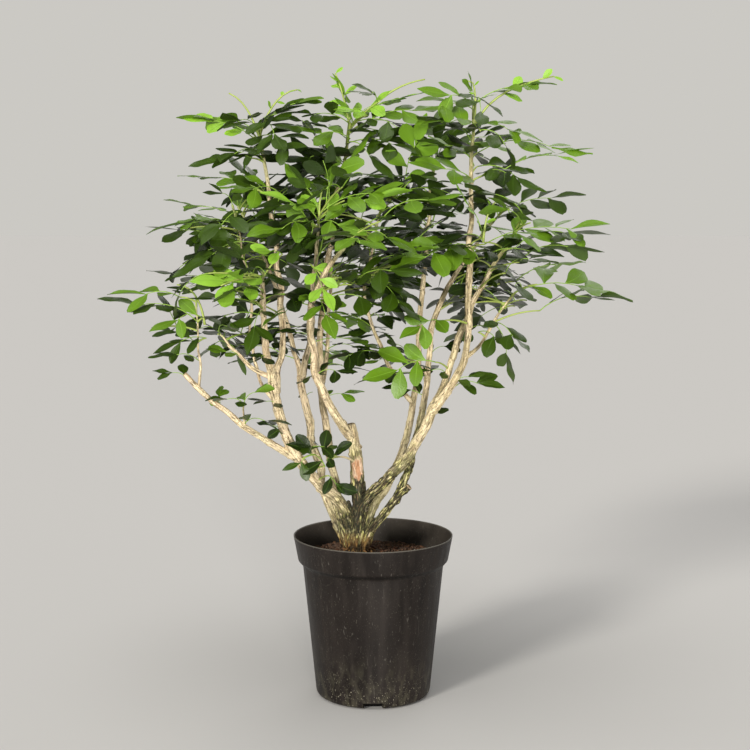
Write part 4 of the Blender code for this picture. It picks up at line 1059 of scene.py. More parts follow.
def scattered_lumps(count, size, flatness, seed):
    """Lumps on the soil: spheres of a few rings, pushed in and out by chance, flattened and turned."""
    rng = np.random.default_rng(seed)
    rings, sides = 4, 6
    polar = np.linspace(0, math.pi, rings + 2)[1:-1, None]
    around = round_angles(sides)
    width = np.sin(polar)
    ball = np.broadcast_arrays(width * np.cos(around), width * np.sin(around), -np.cos(polar))
    ball = np.concatenate((np.stack(ball, axis=-1).reshape(-1, 3), ((0, 0, -1), (0, 0, 1))))
    lumps = ball[None] * rng.uniform(0.65, 1.25, (count, len(ball), 1))
    narrowed = np.stack((np.ones(count), rng.uniform(0.5, 1, count), np.full(count, flatness)), axis=-1)
    lumps = lumps * narrowed[:, None]
    turns = unit(rng.normal(size=(count, 3)) + (0, 0, 2.5))
    axes = np.stack((*square_to(turns, unit(rng.normal(size=(count, 3)))), turns), axis=1)
    radius = rng.uniform(*size, count)
    lumps = np.einsum("nij,njk->nik", lumps * radius[:, None, None], axes)
    bearing = rng.uniform(0, math.tau, count)
    away = (SOIL_RADIUS - 0.003) * np.sqrt(rng.uniform(0.02, 1, count))
    x, y = away * np.cos(bearing), away * np.sin(bearing)
    centre = np.stack((x, y, soil_height(x, y) + radius * flatness * 0.45), axis=-1)
    points = (lumps + centre[:, None]).reshape(-1, 3)
    return points, [repeated(faces, count, len(ball)) for faces in tube_faces(rings, sides)]


# Trunk and limbs


def bend_between(foot, tip, out, up):
    """The point that lies this share of the way outward and this share of the way up."""
    return foot + (np.array(tip) - foot) * (out, out, up)


def trunk_point(bearing, distance, rise):
    """A point on a bearing round the trunk's axis, this far out and this high over the soil."""
    outward = np.array((math.cos(bearing), math.sin(bearing), 0)) * distance
    return outward + (*TRUNK_AXIS, SOIL_LEVEL + GAP + rise)


def limb_axis(name, spans=48):
    """The middle line of a limb, from its seat to its tip."""
    limb = LIMBS[name]
    if limb.seat == "trunk":
        foot = np.array(ARMS[name].end)
    else:
        foot = on_line(limb_axis(limb.seat), limb.share)
    return arc(foot, bend_between(foot, limb.tip, limb.out, limb.up), limb.tip, spans)


def arm_axis(name, spans=48):
    """The middle line of one arm of the trunk, from just under the soil up to the foot of its bough."""
    limb = LIMBS[name]
    end = np.array(ARMS[name].end)
    root = trunk_point(math.radians(ARMS[name].bearing), ARM_ROOT_RADIUS, -ARM_ROOT_DEPTH)
    heading = unit(bend_between(end, limb.tip, limb.out, limb.up) - end)
    bend = end - heading * np.linalg.norm(end - root) * ARM_BEND_SHARE
    return arc(root, bend, end - heading * STRAIGHT_END, spans)


def stem_axis(mass, spans=40):
    """The middle line of a mass's stem, and its width at the foot."""
    limb = limb_axis(mass.limb)
    foot = on_line(limb, mass.share)
    width = LIMBS[mass.limb].tip_width if mass.share == 1 else SIDE_STEM_WIDTH
    return arc(foot, bend_between(foot, mass.top, 0.25, 0.5), mass.top, spans), width


def wandering(path, amount, cell, seed):
    """The path with a slow sideways wander that leaves its two ends where they are."""
    shares = np.linspace(0, 1, len(path))
    along = shares * line_length(path)
    places = np.stack((along, 0 * along, 0 * along + seed), axis=-1)
    wander = np.stack([smooth_noise(places, cell, seed + i) for i in range(3)], axis=-1)
    hold = np.sin(math.pi * shares) ** 0.5
    return path + wander * hold[:, None] * amount


def bark_limb(path, widths, sides, seed, youth=0.0, cut=False, weathered=OLD_BARK):
    """A limb with its bark's relief: knots and a slow swelling everywhere, and fissures where it is old.

    The relief is worked out from noise on (across, across, along) coordinates. Fissures lie where theirs is
    near 0, and knots where theirs is high, and fissures and grain are drawn out lengthwise. Three more rings
    close the limb's end. It returns points, faces and the fields that the bark's material reads.
    """
    length = line_length(path)
    shares = np.linspace(0, 1, max(8, int(length / BARK_STEP)))
    axis = wandering(on_line(path, shares), WANDER, WANDER_CELL, seed)
    radii = np.interp(shares, np.linspace(0, 1, len(widths)), widths) / 2
    onward, narrowed = np.array(CUT_END if cut else GROWN_END).T
    tail = axis[-1] + unit(axis[-1] - axis[-2]) * radii[-1] * onward[:, None]
    axis = np.concatenate((axis, tail))
    radii = np.concatenate((radii, radii[-1] * narrowed))[:, None]
    shares = np.concatenate((shares, np.ones(len(tail))))[:, None]
    along = shares * length
    angles = round_angles(sides)
    around = (np.cos(angles) * radii, np.sin(angles) * radii, along + seed * 0.137)
    grain = np.stack(np.broadcast_arrays(*around), axis=-1)
    drawn = grain * (1, 1, DRAWN_OUT)
    ragged = RAGGEDNESS * smooth_noise(grain, RAGGED_CELL, seed + 4)
    age = np.clip((weathered + AGING_HEIGHT / 2 - axis[:, 2:]) / AGING_HEIGHT, 0, 1)
    age = np.clip(age + ragged * np.sin(math.pi * age) + 0.05, 0.04, 1)
    furrow = np.clip(1 - np.abs(smooth_noise(drawn, FISSURE_CELL, seed)) * FISSURE_SHARPNESS, 0, 1)
    relief = -FISSURE_DEPTH * furrow**1.5 * age
    relief = relief + GRAIN_HEIGHT * smooth_noise(drawn, GRAIN_CELL, seed + 1) * (0.15 + age)
    relief = relief + SWELL_SHARE * radii * smooth_noise(grain, SWELL_CELL, seed + 2)
    knots = np.clip(smooth_noise(grain, KNOT_CELL, seed + 3) - KNOT_LEVEL, 0, 1) * KNOT_SHARE * radii
    from_ring = (along / RING_SPACING + seed * 0.3) % 1 - 0.5
    rings = np.exp(-(from_ring / RING_WIDTH) ** 2) * RING_SHARE * radii
    surface = radii + relief + knots + rings
    surface[-len(tail):] = (radii + relief * 0.3)[-len(tail):]
    points, faces = tubes(axis[None], surface[None], sides)
    ends = np.array([(0, 0, grain[0, 0, 2]), (0, 0, grain[-1, 0, 2])])
    fields = {"grain": np.concatenate((grain.reshape(-1, 3), ends))}
    green = np.broadcast_to(np.interp(shares, (0.6, 1), (0, youth)), age.shape)
    for name, values in (("age", age), ("furrow", furrow), ("youth", green)):
        fields[name] = np.append(values.ravel(), values[[0, -1], 0])
    fields["wound"] = wounded(points)
    return points, faces, fields


def wounded(points):
    """How much of its bark is torn off at each point."""
    most = np.zeros(len(points))
    for place, reach in WOUNDS:
        away = np.linalg.norm((points - place) * WOUND_SHAPE, axis=1) / reach
        ragged = away + WOUND_RAGGEDNESS * smooth_noise(points, WOUND_CELL, SEEDS["wounds"])
        most = np.maximum(most, np.clip((1 - ragged) * WOUND_SHARPNESS, 0, 1))
    return most


def wood_piece(name, parts, material, nodes=()):
    """One piece of several limbs or cut faces, with the fields that its material reads."""
    fields = {key: np.concatenate([part[2][key] for part in parts]) for key in parts[0][2]}
    make_piece(name, joined([part[:2] for part in parts]), material, nodes, fields)


def limb_widths(name):
    """How wide a limb is at its foot and at its tip under its bark."""
    slimness = STUB_SLIMNESS if name == "centre_stub" else LIMB_SLIMNESS
    return LIMBS[name].foot_width * slimness, LIMBS[name].tip_width * slimness


def clad_limb(name, path, swell, sides, seed):
    """A limb under bark: its foot swells by these shares, and then it narrows evenly to its tip."""
    foot, tip = limb_widths(name)
    widths = [foot * share for share in swell] + [(foot + tip) / 2, tip]
    weathered = WEATHERED.get(name, OLD_BARK)
    return bark_limb(path, widths, sides, seed, cut=name in PRUNED_LIMBS, weathered=weathered)


def cut_face(name):
    """A pruned end: a slightly domed and uneven disc across the limb, with the field pith at its middle."""
    axis = limb_axis(name)
    width = limb_widths(name)[1]
    heading = unit(axis[-1] - axis[-3])
    helper = (1.0, 0.0, 0.0) if abs(heading[2]) > 0.8 else (0.0, 0.0, 1.0)
    side, upward = square_to(heading, helper)
    angles = round_angles(CUT_SIDES)[:, None]
    circle = side * np.cos(angles) + upward * np.sin(angles)
    shares, lift = np.array(CUT_RINGS).T[..., None, None]
    grid = axis[-1] + circle * shares * width * CUT_RADIUS + heading * (lift * width + width * CUT_PLACE)
    grid = grid + heading * smooth_noise(grid, CUT_CELL, SEEDS["cut_faces"])[..., None] * CUT_ROUGHNESS
    points = np.concatenate((grid.reshape(-1, 3), axis[-1:], axis[-1:] + heading * (width * CUT_MIDDLE)))
    pith = np.append(np.repeat(np.clip(1.3 - shares * 2.4, 0, 1), CUT_SIDES), (0, 1))
    return points, tube_faces(len(CUT_RINGS), CUT_SIDES), {"pith": pith}


def make_wood(materials):
    """The trunk with its leaders, and the boughs, under bark; the roots at its foot; and the pruned ends."""
    core_spine = np.array([trunk_point(0, 0, rise) for rise in CORE_HEIGHTS])
    leaders = [bark_limb(core_spine, CORE_WIDTHS, CORE_SIDES, SEEDS["core"])]
    for i, name in enumerate(ARMS):
        path = np.concatenate((arm_axis(name), limb_axis(name)[1:]))
        leaders.append(clad_limb(name, path, LEADER_SWELL, LEADER_SIDES, SEEDS["leaders"] + i))
    leaders += fork_webs() + foot_roots()
    wood_piece("trunk_and_leaders", leaders, materials["bark"], ["trunk", *ARMS])
    boughs = {}
    for i, name in enumerate(LIMBS):
        if name not in ARMS:
            boughs[name] = clad_limb(name, limb_axis(name), BOUGH_SWELL, BOUGH_SIDES, SEEDS["boughs"] + i)
    wood_piece("boughs", list(boughs.values()), materials["bark"], boughs)
    wood_piece("pruned_ends", [cut_face(name) for name in PRUNED_LIMBS], materials["cut_wood"])
    make_thread_roots(materials["root"])


def fork_webs():
    """The wood that fills the trunk's forks: each web runs midway between the middle lines of two arms."""
    webs = []
    for i, (one, other, share) in enumerate(FORK_WEBS):
        path = on_line((arm_axis(one) + arm_axis(other)) / 2, np.linspace(0, share, 30))
        webs.append(bark_limb(path, WEB_WIDTHS, WEB_SIDES, SEEDS["webs"] + i, weathered=WEB_TOP))
    return webs


def foot_roots():
    """The roots at the trunk's foot: upright strands side by side round it, and a few that flare out."""
    rng = np.random.default_rng(SEEDS["foot_roots"])
    roots = []
    for i, angle in enumerate(round_angles(STRAND_ROOTS)):
        bearing = angle + rng.uniform(-0.12, 0.12)
        distances, rises = STRAND_START
        top = trunk_point(bearing, rng.uniform(*distances), rng.uniform(*rises))
        distances, rise = STRAND_END
        tip = trunk_point(bearing + rng.uniform(-0.2, 0.2), rng.uniform(*distances), rise)
        path = arc(top, trunk_point(bearing, *STRAND_BEND), tip, 16)
        roots.append(bark_limb(path, STRAND_WIDTHS, STRAND_SIDES, SEEDS["strands"] + i))
    for i, angle in enumerate(round_angles(FLARE_ROOTS)):
        bearing = angle - 1.0 + rng.uniform(-0.3, 0.3)
        top = trunk_point(bearing, *FLARE_START)
        turned = bearing + rng.uniform(-0.25, 0.25)
        tip = trunk_point(turned, FLARE_REACH * rng.uniform(0.85, 1.05), -FLARE_DEPTH)
        path = arc(top, trunk_point(bearing, *FLARE_BEND), tip, 16)
        roots.append(bark_limb(path, FLARE_WIDTHS, FLARE_SIDES, SEEDS["flares"] + i))
    return roots


def make_thread_roots(material):
    """Root threads that loop out of the trunk's foot and back into the soil."""
    rng = np.random.default_rng(SEEDS["thread_roots"])
    paths = []
    for bearing in rng.uniform(0, math.tau, THREAD_ROOTS):
        turn = bearing + rng.uniform(-0.6, 0.6)
        distances, rises = THREAD_START
        start = trunk_point(bearing, rng.uniform(*distances), rng.uniform(*rises))
        distance, rises = THREAD_BEND
        bend = trunk_point((bearing + turn) / 2, distance, rng.uniform(*rises))
        distances, rise = THREAD_END
        paths.append(arc(start, bend, trunk_point(turn, rng.uniform(*distances), rise), 11))
    paths = np.array(paths)
    radii = np.linspace(*THREAD_RADII, paths.shape[1]) * rng.uniform(0.7, 1.3, (THREAD_ROOTS, 1))
    make_piece("thread_roots", tubes(paths, radii, TWIG_SIDES), material)


# Foliage


class Crown:
    """The twigs, stalks and leaflets grown so far, and what they have to keep clear of."""

    def __init__(self):
        lines = [arm_axis(name) for name in ARMS] + [limb_axis(name) for name in LIMBS]
        widths = [LIMBS[name].foot_width for name in (*ARMS, *LIMBS)] + [MEAN_STEM_WIDTH] * len(MASSES)
        lines += [stem_axis(mass)[0] for mass in MASSES.values()]
        self.wood = np.concatenate([on_line(line, np.linspace(0, 1, WOOD_POINTS)) for line in lines])
        self.wood_radii = np.repeat(widths, WOOD_POINTS) / 2
        self.middles = np.array([np.mean((mass.top, *mass.tips), axis=0) for mass in MASSES.values()])
        self.stems = []
        self.twigs = []
        self.stalks = []
        self.leaflets = []
        # Middles of all leaflets grown so far, and of those that stand out on the front
        self.taken = np.full((1, 3), FAR_AWAY)
        self.shown = self.taken

    def owner(self, point):
        """The mass whose middle lies nearest to the point."""
        return np.linalg.norm(self.middles - point, axis=1).argmin()

    def clear_of_wood(self, points, clearance):
        """Which points are further than this from every limb and stem."""
        apart = np.linalg.norm(points[:, None] - self.wood[None], axis=2) - self.wood_radii
        return apart.min(axis=1) > clearance

    def room(self, points):
        """How far each point is from the nearest leaflet grown so far."""
        return np.linalg.norm(points[:, None] - self.taken[None], axis=2).min(axis=1)

    def hides(self, things, points):
        """Which points lie close in front of some of these things, as they are seen from the front."""
        apart = front_view(points)[:, None] - front_view(things)[None]
        behind = things[None, :, 1] > points[:, None, 1]
        return ((np.hypot(apart[..., 0], apart[..., 1]) < SIGHT_WIDTH) & behind).any(axis=1)

    def nearest_wood(self, point):
        """The place on the wood from which a twig best leads to the point: near it and not above it."""
        away = np.linalg.norm(self.wood - point, axis=1)
        above = np.maximum(0, self.wood[:, 2] - point[2] + 0.004)
        return self.wood[(away + 2 * above).argmin()]


def front_view(points):
    """Where points are seen from the front against the plane y = 0: across and up."""
    grow = -CAMERA_PLACE[1] / (points[:, 1] - CAMERA_PLACE[1])
    across = CAMERA_PLACE[0] + (points[:, 0] - CAMERA_PLACE[0]) * grow
    height = CAMERA_PLACE[2] + (points[:, 2] - CAMERA_PLACE[2]) * grow
    return np.stack((across, height), axis=-1)


def in_outline(points):
    """Which points lie inside the crown's outline, as it is seen from the front."""
    across, height = front_view(points).T
    levels, left, right = np.array(OUTLINE).T
    inside = (across > np.interp(height, levels, left)) & (across < np.interp(height, levels, right))
    return inside & (height > levels[0]) & (height < levels[-1])


def leaf_age(point, share, rng):
    """Which green a leaf has: leaves at the crown's outside, its top and the ends of shoots are younger.

    The lighter greens outside and at the top are partly painted light, the darker ones inside partly painted
    shade, and the darker ones at the back painted shade.
    """
    outward = np.linalg.norm((np.array(point) - CROWN_CENTRE) / CROWN_HALF)
    score = YOUNGER_AND_LIT_OUTSIDE * outward + YOUNGER_AT_ENDS * share + YOUNGER_BY_CHANCE * rng.normal()
    score += YOUNGER_AND_LIT_AT_TOP * max(0.0, point[2] - CROWN_TOP) / CROWN_TOP_DEPTH
    # Painted shade: leaves at the crown's back take darker greens
    score -= SHADE_AT_BACK * (point[1] > CROWN_BACK)
    return int(np.digitize(score, AGE_STEPS))


def plan_leaf(base, tip, scale, rng, turned):
    """A compound leaf from base to tip: its arching stalk, and each leaflet's foot, axes and length.

    The leaflets stand by turns on the left and right of the stalk, in a plane that lies nearly level, tilts
    a little outwards from the crown's middle, and turns to the front as far as is asked for. The last one
    goes on from the stalk's end.
    """
    heading = unit(tip - base)
    level = np.cross(heading, (0, 0, 1))
    level = unit(level) if np.linalg.norm(level) > 0.05 else np.array((1.0, 0.0, 0.0))
    upward = np.cross(level, heading)
    reach = np.linalg.norm(tip - base)
    terminal = min(LEAFLET_LENGTH * END_LEAFLET * scale * rng.uniform(0.90, 1.15), reach * 0.55)
    stalk_tip = tip - heading * terminal * 0.97
    bend = (base + stalk_tip) / 2 + upward * reach * rng.uniform(*STALK_ARCH)
    bend = bend + level * reach * rng.normal() * STALK_SWAY
    stalk = arc(base, bend, stalk_tip, STALK_RINGS - 1)
    roll = rng.normal() * LEAF_ROLL
    outward = np.append(((base + tip) / 2 - CROWN_CENTRE)[:2], 0)
    outward = outward / max(np.linalg.norm(outward), 0.03)
    rolled = upward * math.cos(roll) + level * math.sin(roll)
    normal = unit(rolled + outward * 0.10 - np.array((0, turned, 0)))
    wanted = round((reach - terminal) * 0.80 / (LEAFLET_SPACING * scale**0.5))
    count = int(np.clip(wanted, *LEAFLET_COUNTS))
    shares = np.clip(np.linspace(*LEAFLET_SHARES, count) + rng.normal(size=count) * 0.012, 0.1, 0.97)
    tangents = unit(on_line(stalk, np.minimum(shares + 0.03, 1)) - on_line(stalk, shares - 0.03))
    across = unit(np.cross(normal, tangents))
    sides = np.where(np.arange(count) % 2 == rng.integers(2), 1.0, -1.0)[:, None]
    spread = LEAFLET_ANGLE - LEAFLET_ANGLE_LOSS * shares + rng.normal(size=count) * 5
    spread = np.radians(spread)[:, None]
    along = tangents * np.cos(spread) + across * sides * np.sin(spread)
    along = unit(along + normal * (rng.normal(size=(count, 1)) * LEAFLET_SAG - 0.03))
    twist = rng.normal(size=(count, 3)) * LEAFLET_TWIST
    sizes = 0.72 + 0.36 * np.sin(math.pi * 0.75 * shares)
    lengths = LEAFLET_LENGTH * scale * sizes * rng.uniform(0.88, 1.1, count)
    last = unit(unit(tip - stalk[-2]) + rng.normal(size=3) * 0.07 - np.array((0, 0, 0.05)))
    last_normal = normal + rng.normal(size=3) * 0.10
    feet = np.vstack((on_line(stalk, shares), stalk[-1]))
    axes = leaflet_axes(np.vstack((along, last)), np.vstack((normal + twist, last_normal)))
    return stalk, feet, axes, np.append(lengths, terminal)


def add_leaf(crown, base, tip, age, rng, scale=1.0, mass=None, turned=0.0):
    """Adds a compound leaf with those of its leaflets that fit.

    A leaf that fills a mass is left out where it lies nearer to another mass, where its stalk touches wood,
    or where too many of its leaflets touch wood or others, leave the crown's outline, or hide the limbs or
    the leaves on the front. One with no mass given is always there. It returns whether the leaf was added.
    """
    stalk, feet, axes, lengths = plan_leaf(base, tip, scale, rng, turned)
    ways = axes[:, 0] * lengths[:, None]
    middles = feet + ways * 0.5
    tips = feet + ways
    keep = (tips > np.array(CROWN_LOW) - CROWN_SLACK).all(axis=1)
    keep &= (tips < np.array(CROWN_HIGH) + CROWN_SLACK).all(axis=1)
    if mass is None:
        keep &= crown.clear_of_wood(middles, STALK_CLEARANCE)
    else:
        keep &= crown.clear_of_wood(middles, MIDDLE_CLEARANCE) & crown.clear_of_wood(tips, TIP_CLEARANCE)
        keep &= (crown.room(middles) > LEAFLET_ROOM) & in_outline(tips)
        seen = rng.uniform(size=len(feet)) < np.interp(tips[:, 2], SIGHT_HEIGHTS, SIGHT_SHARES)
        keep &= ~(crown.hides(crown.wood, middles) & seen) & ~crown.hides(crown.shown, middles)
        owned = mass == ANY_MASS or crown.owner(middles.mean(axis=0)) == mass
        enough = keep.sum() >= max(3, 0.7 * len(keep))
        if not (owned and enough and crown.clear_of_wood(stalk[2:], STALK_CLEARANCE).all()):
            return False
    pointed = np.append(np.zeros(len(feet) - 1), 1.0)
    radius = STALK_RADIUS * scale**0.5
    crown.stalks.append((stalk, (radius, radius * STALK_TAPER)))
    crown.leaflets.append((feet[keep], axes[keep], lengths[keep], np.full(keep.sum(), age), pointed[keep]))
    crown.taken = np.concatenate((crown.taken, middles[keep]))
    return True


def add_shoot(crown, base, direction, length, leaves, rng, mass, last_tip=None):
    """Adds a twig that carries leaves by the golden angle, and one that goes on from its end."""
    end = base + direction * length
    bend = base + direction * length * 0.5 + np.array((0, 0, 0.12)) * length
    twig = arc(base, bend, end, 8)
    free = crown.owner(end) == mass and crown.clear_of_wood(twig[2:], TWIG_CLEARANCE).all()
    if last_tip is None and not free:
        return
    grown = 0
    turn = rng.uniform(0, math.tau)
    for i, share in enumerate(np.linspace(*TWIG_LEAVES, leaves)):
        place = on_line(twig, share)
        axis = unit(on_line(twig, min(1, share + 0.05)) - on_line(twig, share - 0.05))
        side, other = square_to(axis, (0.13, 0.21, 0.97))
        bearing = turn + GOLDEN_ANGLE * i
        outward = side * math.cos(bearing) + other * math.sin(bearing)
        heading = unit(unit(outward) + axis * 0.6) * (1, 1, 0.45) + (0, 0, 0.06)
        tip = place + unit(heading) * (LEAF_REACH * rng.uniform(0.62, 1.0))
        grown += add_leaf(crown, place, tip, leaf_age(tip, share, rng), rng, rng.uniform(0.82, 1.05), mass)
    if last_tip is None:
        heading = unit(direction * (1, 1, 0.6) + (0, 0, rng.uniform(-0.05, 0.20)))
        tip = end + heading * LEAF_REACH * rng.uniform(0.65, 1.0)
        grown += add_leaf(crown, twig[-1], tip, leaf_age(tip, 1.0, rng), rng, 1.0, mass)
    else:
        grown += add_leaf(crown, twig[-1], last_tip, max(MIDDLE, leaf_age(last_tip, 1.0, rng)), rng)
    if grown:
        crown.twigs.append((twig, SHOOT_TWIG_RADII))


def grow_mass(crown, number, name):
    """Grows one mass: a stem, shoots that reach its furthest tips, and shoots between them."""
    mass = MASSES[name]
    rng = np.random.default_rng((SEEDS["masses"], number))
    stem, width = stem_axis(mass)
    crown.stems.append((stem, width))
    places = on_line(stem, np.linspace(LOWEST_SHOOT, 1, 30))
    for tip in np.array(mass.tips):
        wanted = tip[2] - SHOOT_RISE * np.linalg.norm((places - tip)[:, :2], axis=1)
        base = places[np.abs(places[:, 2] - wanted).argmin()]
        away = np.linalg.norm(tip - base)
        length = max(away - LEAF_REACH * 0.92, 0.0)
        if length < SHORTEST_SHOOT:
            age = max(MIDDLE, leaf_age(tip, 1.0, rng))
            add_leaf(crown, base, tip, age, rng, scale=min(1.0, 0.55 + away * 4))
        else:
            leaves = 1 + int(length / LEAF_SPACING)
            add_shoot(crown, base, unit(tip - base), length, leaves, rng, number, tip)
    for i in range(mass.shoots * SHOOT_TRIES):
        share = LOWEST_SHOOT + (1 - LOWEST_SHOOT) * ((i * 0.382 + 0.1) % 1) ** 0.8
        base = on_line(stem, share)
        bearing = GOLDEN_ANGLE * i + rng.uniform(-0.4, 0.4)
        direction = slanting(bearing, rng.uniform(-0.10, 0.35) + 0.35 * (share > 0.9))
        if rng.uniform() < SINGLE_LEAVES:
            tip = base + direction * LEAF_REACH * rng.uniform(0.7, 1.05)
            add_leaf(crown, base, tip, leaf_age(tip, share, rng), rng, rng.uniform(0.88, 1.06), number)
        else:
            length = rng.uniform(*SHOOT_LENGTHS)
            add_shoot(crown, base, direction, length, int(rng.integers(2, 5)), rng, number)


def grow_front_leaves(crown):
    """The leaves that stand out singly, each on a twig from the nearest wood."""
    rng = np.random.default_rng(SEEDS["front_leaves"])
    for foot, tip, age, scale, turned in FRONT_LEAVES:
        foot, tip = np.array(foot), np.array(tip)
        base = crown.nearest_wood(foot)
        length = np.linalg.norm(foot - base)
        if length > SHORTEST_TWIG:
            bend = (base + foot) / 2 + np.array((0, 0, 0.15)) * length
            crown.twigs.append((arc(base, bend, foot, 8), TWIG_RADII))
        add_leaf(crown, foot, tip, age, rng, scale, turned=turned)
    crown.shown = crown.taken


def grow_skirt(crown):
    """Leaves that stand on the boughs' upper ends, under the masses, and droop a little."""
    rng = np.random.default_rng(SEEDS["skirt"])
    for name, leaves in SKIRT:
        axis = limb_axis(name)
        turn = rng.uniform(0, math.tau)
        for i in range(leaves * SKIRT_TRIES):
            base = on_line(axis, rng.uniform(0.55, 1.0))
            heading = slanting(turn + GOLDEN_ANGLE * i, rng.uniform(-0.25, 0.25))
            tip = base + heading * LEAF_REACH * rng.uniform(0.55, 0.95)
            age = int(rng.choice((DEEP, DEEP, MIDDLE, FRESH)))
            add_leaf(crown, base, tip, age, rng, rng.uniform(0.75, 1.0), ANY_MASS, rng.uniform(0, 0.3))


def grow_sprouts(crown):
    """Small leaves that come straight out of the boughs."""
    rng = np.random.default_rng(SEEDS["sprouts"])
    for name, share, bearing in SPROUTS:
        base = on_line(limb_axis(name), share)
        heading = slanting(math.radians(bearing), rng.uniform(0.1, 0.5))
        age = int(rng.integers(DEEP, YOUNG))
        tip = base + heading * rng.uniform(0.034, 0.052)
        add_leaf(crown, base, tip, age, rng, SPROUT_SCALE, turned=0.5)


def grow_young_shoots(crown):
    """Thin new shoots that stand out of the crown, bare or with a few small leaflets at their ends."""
    rng = np.random.default_rng(SEEDS["young_shoots"])
    for foot, bend, tip, leaves, leaflet_length in YOUNG_SHOOTS:
        path = arc(foot, bend, tip, 12)
        crown.twigs.append((path, YOUNG_SHOOT_RADII))
        if not leaves:
            continue
        shares = np.linspace(0.45, 0.99, leaves)
        feet = on_line(path, shares)
        heading = unit(on_line(path, np.minimum(shares + 0.02, 1)) - on_line(path, shares - 0.02))
        bearings = rng.uniform(0, math.tau) + GOLDEN_ANGLE * np.arange(leaves)
        side, other = square_to(heading, (0.1, 1.0, 0.1))
        outward = side * np.cos(bearings)[:, None] + other * np.sin(bearings)[:, None] * 0.6
        along = unit((heading * 0.8 + outward) * (1, 1, 0.55))
        axes = leaflet_axes(along, unit(outward * -0.3 + (0, -0.8, 0.8)))
        lengths = leaflet_length * np.linspace(1, 0.6, leaves) * rng.uniform(0.85, 1.15, leaves)
        crown.leaflets.append((feet, axes, lengths, np.full(leaves, YOUNG), np.full(leaves, 0.1)))


def leaflet_surfaces(feet, axes, lengths, pointed, seed):
    """Every leaflet's face at once, as a grid of points from foot to tip and edge to edge, and its midrib.

    Behind a short stalk, a blunt leaflet's half width follows the sine of pi times the share along it to the
    power 1.3, and that to the power 0.62, so that it is widest past its middle. A pointed one follows nearly
    the sine alone and is slimmer. Each is folded up along the midrib, its edges curl down and wave, and its
    tip droops. The midrib is a narrow strip that runs along the fold, just above the face.
    """
    rng = np.random.default_rng(seed)
    count = len(feet)
    t = 1 - (1 - np.linspace(0, 1, LEAFLET_ROWS)) ** 1.25
    v = np.linspace(1, -1, LEAFLET_COLUMNS)
    blade = np.clip((t - 0.06) / 0.94, 0, 1)
    blunt = np.maximum(np.sin(math.pi * blade**1.3), 0) ** 0.62
    sharp = np.maximum(np.sin(math.pi * blade**0.98), 0) ** 0.95 * 0.74
    share = pointed[:, None, None]
    slender = rng.uniform(0.86, 1.12, (count, 1, 1)) * LEAFLET_SLENDERNESS / 2
    blunt[-1] = BLUNT_TIP
    half = np.maximum(blunt[:, None] * (1 - share) + sharp[:, None] * share, 0.05) * slender
    ranges = LEAFLET_BENDS.values()
    fold, curl, wave, phase, droop = (rng.uniform(*limits, (count, 1, 1)) for limits in ranges)
    sway = rng.normal(size=(count, 1, 1)) * 0.05
    t, v = t[None, :, None], v[None, None, :]
    across = half * v + sway * np.sin(math.pi * t)
    lift = half * (fold * np.abs(v) - curl * v**2) - droop * t**2
    lift = lift + wave * v**2 * np.sin(phase + 11 * t + 2.1 * v)
    rib_sides = np.array((0.5, -0.5))[None, None] * (RIB_WIDTH * (1 - 0.75 * t)) / lengths[:, None, None]
    rib_lift = RIB_HEIGHT / lengths[:, None, None] - droop * t**2
    rib_across = sway * np.sin(math.pi * t) + rib_sides
    shapes = []
    for grid in ((t, across, lift), (t, rib_across, rib_lift)):
        local = np.stack(np.broadcast_arrays(*grid), axis=-1) * lengths[:, None, None, None]
        points = feet[:, None, None] + np.einsum("nrcj,njk->nrck", local, axes)
        rows, columns = points.shape[1:3]
        faces = repeated(lattice_faces(rows, columns, closed=False), count, rows * columns)
        shapes.append((points.reshape(-1, 3), [faces]))
    return shapes


def tapering(paths, ends, sides):
    """Tubes along paths of as many points each, with these radii at their feet and tips."""
    paths = np.array(paths)
    return tubes(paths, np.linspace(*np.transpose(ends), paths.shape[1], axis=1), sides)


def make_foliage(materials):
    """Grows every mass, then makes its stems, twigs, stalks and leaflets into pieces, each kind apart."""
    crown = Crown()
    grow_front_leaves(crown)
    for number, name in enumerate(MASSES):
        grow_mass(crown, number, name)
    grow_skirt(crown)
    grow_sprouts(crown)
    grow_young_shoots(crown)
    nodes = list(MASSES)
    stems = []
    for i, (stem, width) in enumerate(crown.stems):
        widths = [width * share for share in STEM_TAPER] + [STEM_TIP_WIDTH]
        stems.append(bark_limb(stem, widths, STEM_SIDES, SEEDS["stems"] + i, youth=0.85))
    wood_piece("leafy_stems", stems, materials["bark"], nodes)
    paths, ends = zip(*crown.twigs)
    twigs = tapering([on_line(path, np.linspace(0, 1, TWIG_RINGS)) for path in paths], ends, TWIG_SIDES)
    make_piece("green_twigs", twigs, materials["twig"], nodes)
    stalks = tapering(*zip(*crown.stalks), STALK_SIDES)
    make_piece("leaf_stalks", stalks, materials["stalk"], nodes)
    feet, axes, lengths, ages, pointed = (np.concatenate(column) for column in zip(*crown.leaflets))
    ribs = {"old_rib": [], "new_rib": []}
    for age, name in enumerate(("deep_leaflets", "middle_leaflets", "fresh_leaflets", "young_leaflets")):
        own = ages == age
        kind = (feet[own], axes[own], lengths[own], pointed[own])
        blades, midribs = leaflet_surfaces(*kind, SEEDS["leaflets"] + age)
        ribs["new_rib" if age >= FRESH else "old_rib"].append(midribs)
        make_piece(name, blades, materials[name], nodes)
    for kind, strips in ribs.items():
        make_piece(kind + "s", joined(strips), materials[kind], nodes)


# Stage


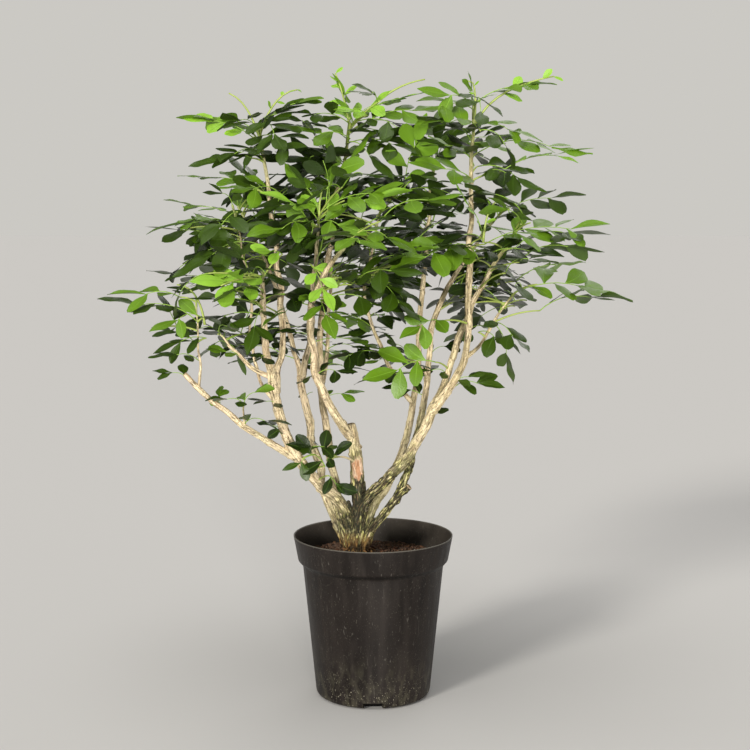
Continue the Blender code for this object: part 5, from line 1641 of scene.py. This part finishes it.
def make_stage():
    """A plain pale floor, soft lights in front, above and behind, and the camera at the photo's angle."""
    scene = bpy.context.scene
    square = ((-1, -1), (1, -1), (1, 1), (-1, 1))
    corners = [(x * FLOOR_REACH, y * FLOOR_REACH, FLOOR_LEVEL) for x, y in square]
    floor = add_object("floor", make_mesh("floor", corners, [np.array([(0, 1, 2, 3)])], {}))
    floor.data.materials.append(Finish("floor", FLOOR_TONE, 1.0, specular=0.0).material)
    for name, (place, softness, strength, colour) in LIGHTS.items():
        sun = bpy.data.lights.new(name, "SUN")
        sun.energy = strength
        sun.angle = math.radians(softness)
        sun.color = colour
        lamp = add_object(name, sun)
        lamp.location = place
        x, y, z = np.array(LIGHTS_AIM) - place
        lamp.rotation_euler = (math.atan2(math.hypot(x, y), -z), 0, math.atan2(-x, y))
    scene.world = make_world()
    scene.view_settings.view_transform = "Standard"
    camera = add_object("camera", bpy.data.cameras.new("camera"))
    camera.data.lens = CAMERA_LENS
    camera.data.sensor_width = SENSOR_WIDTH
    camera.location = CAMERA_PLACE
    camera.rotation_euler = (math.pi / 2 - CAMERA_TILT, 0, 0)
    scene.camera = camera


def make_world():
    """Even daylight, dimmer in reflections, behind which the camera sees the floor's own tone."""
    world = bpy.data.worlds.new("studio")
    world.use_nodes = True
    tree = world.node_tree
    rays = tree.nodes.new("ShaderNodeLightPath").outputs
    reflected = mixed(tree, rays["Is Glossy Ray"], DAYLIGHT_TONE, REFLECTED_TONE)
    seen = mixed(tree, rays["Is Camera Ray"], reflected, BACKDROP_TONE)
    put(tree.nodes["Background"].inputs["Color"], seen)
    return world


def main():
    """Makes the materials, every piece of the pot and the plant, and the stage."""
    materials = {
        "pot_plastic": pot_plastic(),
        "soil": soil_finish("soil", (0.120, 0.069, 0.043), (0.190, 0.106, 0.064)),
        "chips": soil_finish("bark_chips", (0.130, 0.052, 0.026), (0.22, 0.105, 0.050)),
        "grit": soil_finish("soil_grit", (0.30, 0.27, 0.21), (0.20, 0.17, 0.12)),
        "bark": bark(),
        "cut_wood": cut_wood(),
        "root": soil_finish("root_threads", (0.36, 0.185, 0.060), (0.22, 0.105, 0.040), 0.8),
        "twig": green_wood("green_twigs", (0.320, 0.400, 0.085)),
        "stalk": green_wood("leaf_stalks", (0.240, 0.400, 0.045)),
        "old_rib": green_wood("old_ribs", (0.060, 0.120, 0.012)),
        "new_rib": green_wood("new_ribs", (0.180, 0.340, 0.030)),
        "deep_leaflets": leaf_finish("leaf_deep", (0.014, 0.030, 0.002), 0.26),
        "middle_leaflets": leaf_finish("leaf_middle", (0.035, 0.072, 0.003), 0.28),
        "fresh_leaflets": leaf_finish("leaf_fresh", (0.116, 0.232, 0.010), 0.32),
        "young_leaflets": leaf_finish("leaf_young", (0.250, 0.475, 0.036), 0.40),
    }
    make_pot(materials["pot_plastic"])
    make_soil(materials)
    make_wood(materials)
    make_foliage(materials)
    make_stage()


main()
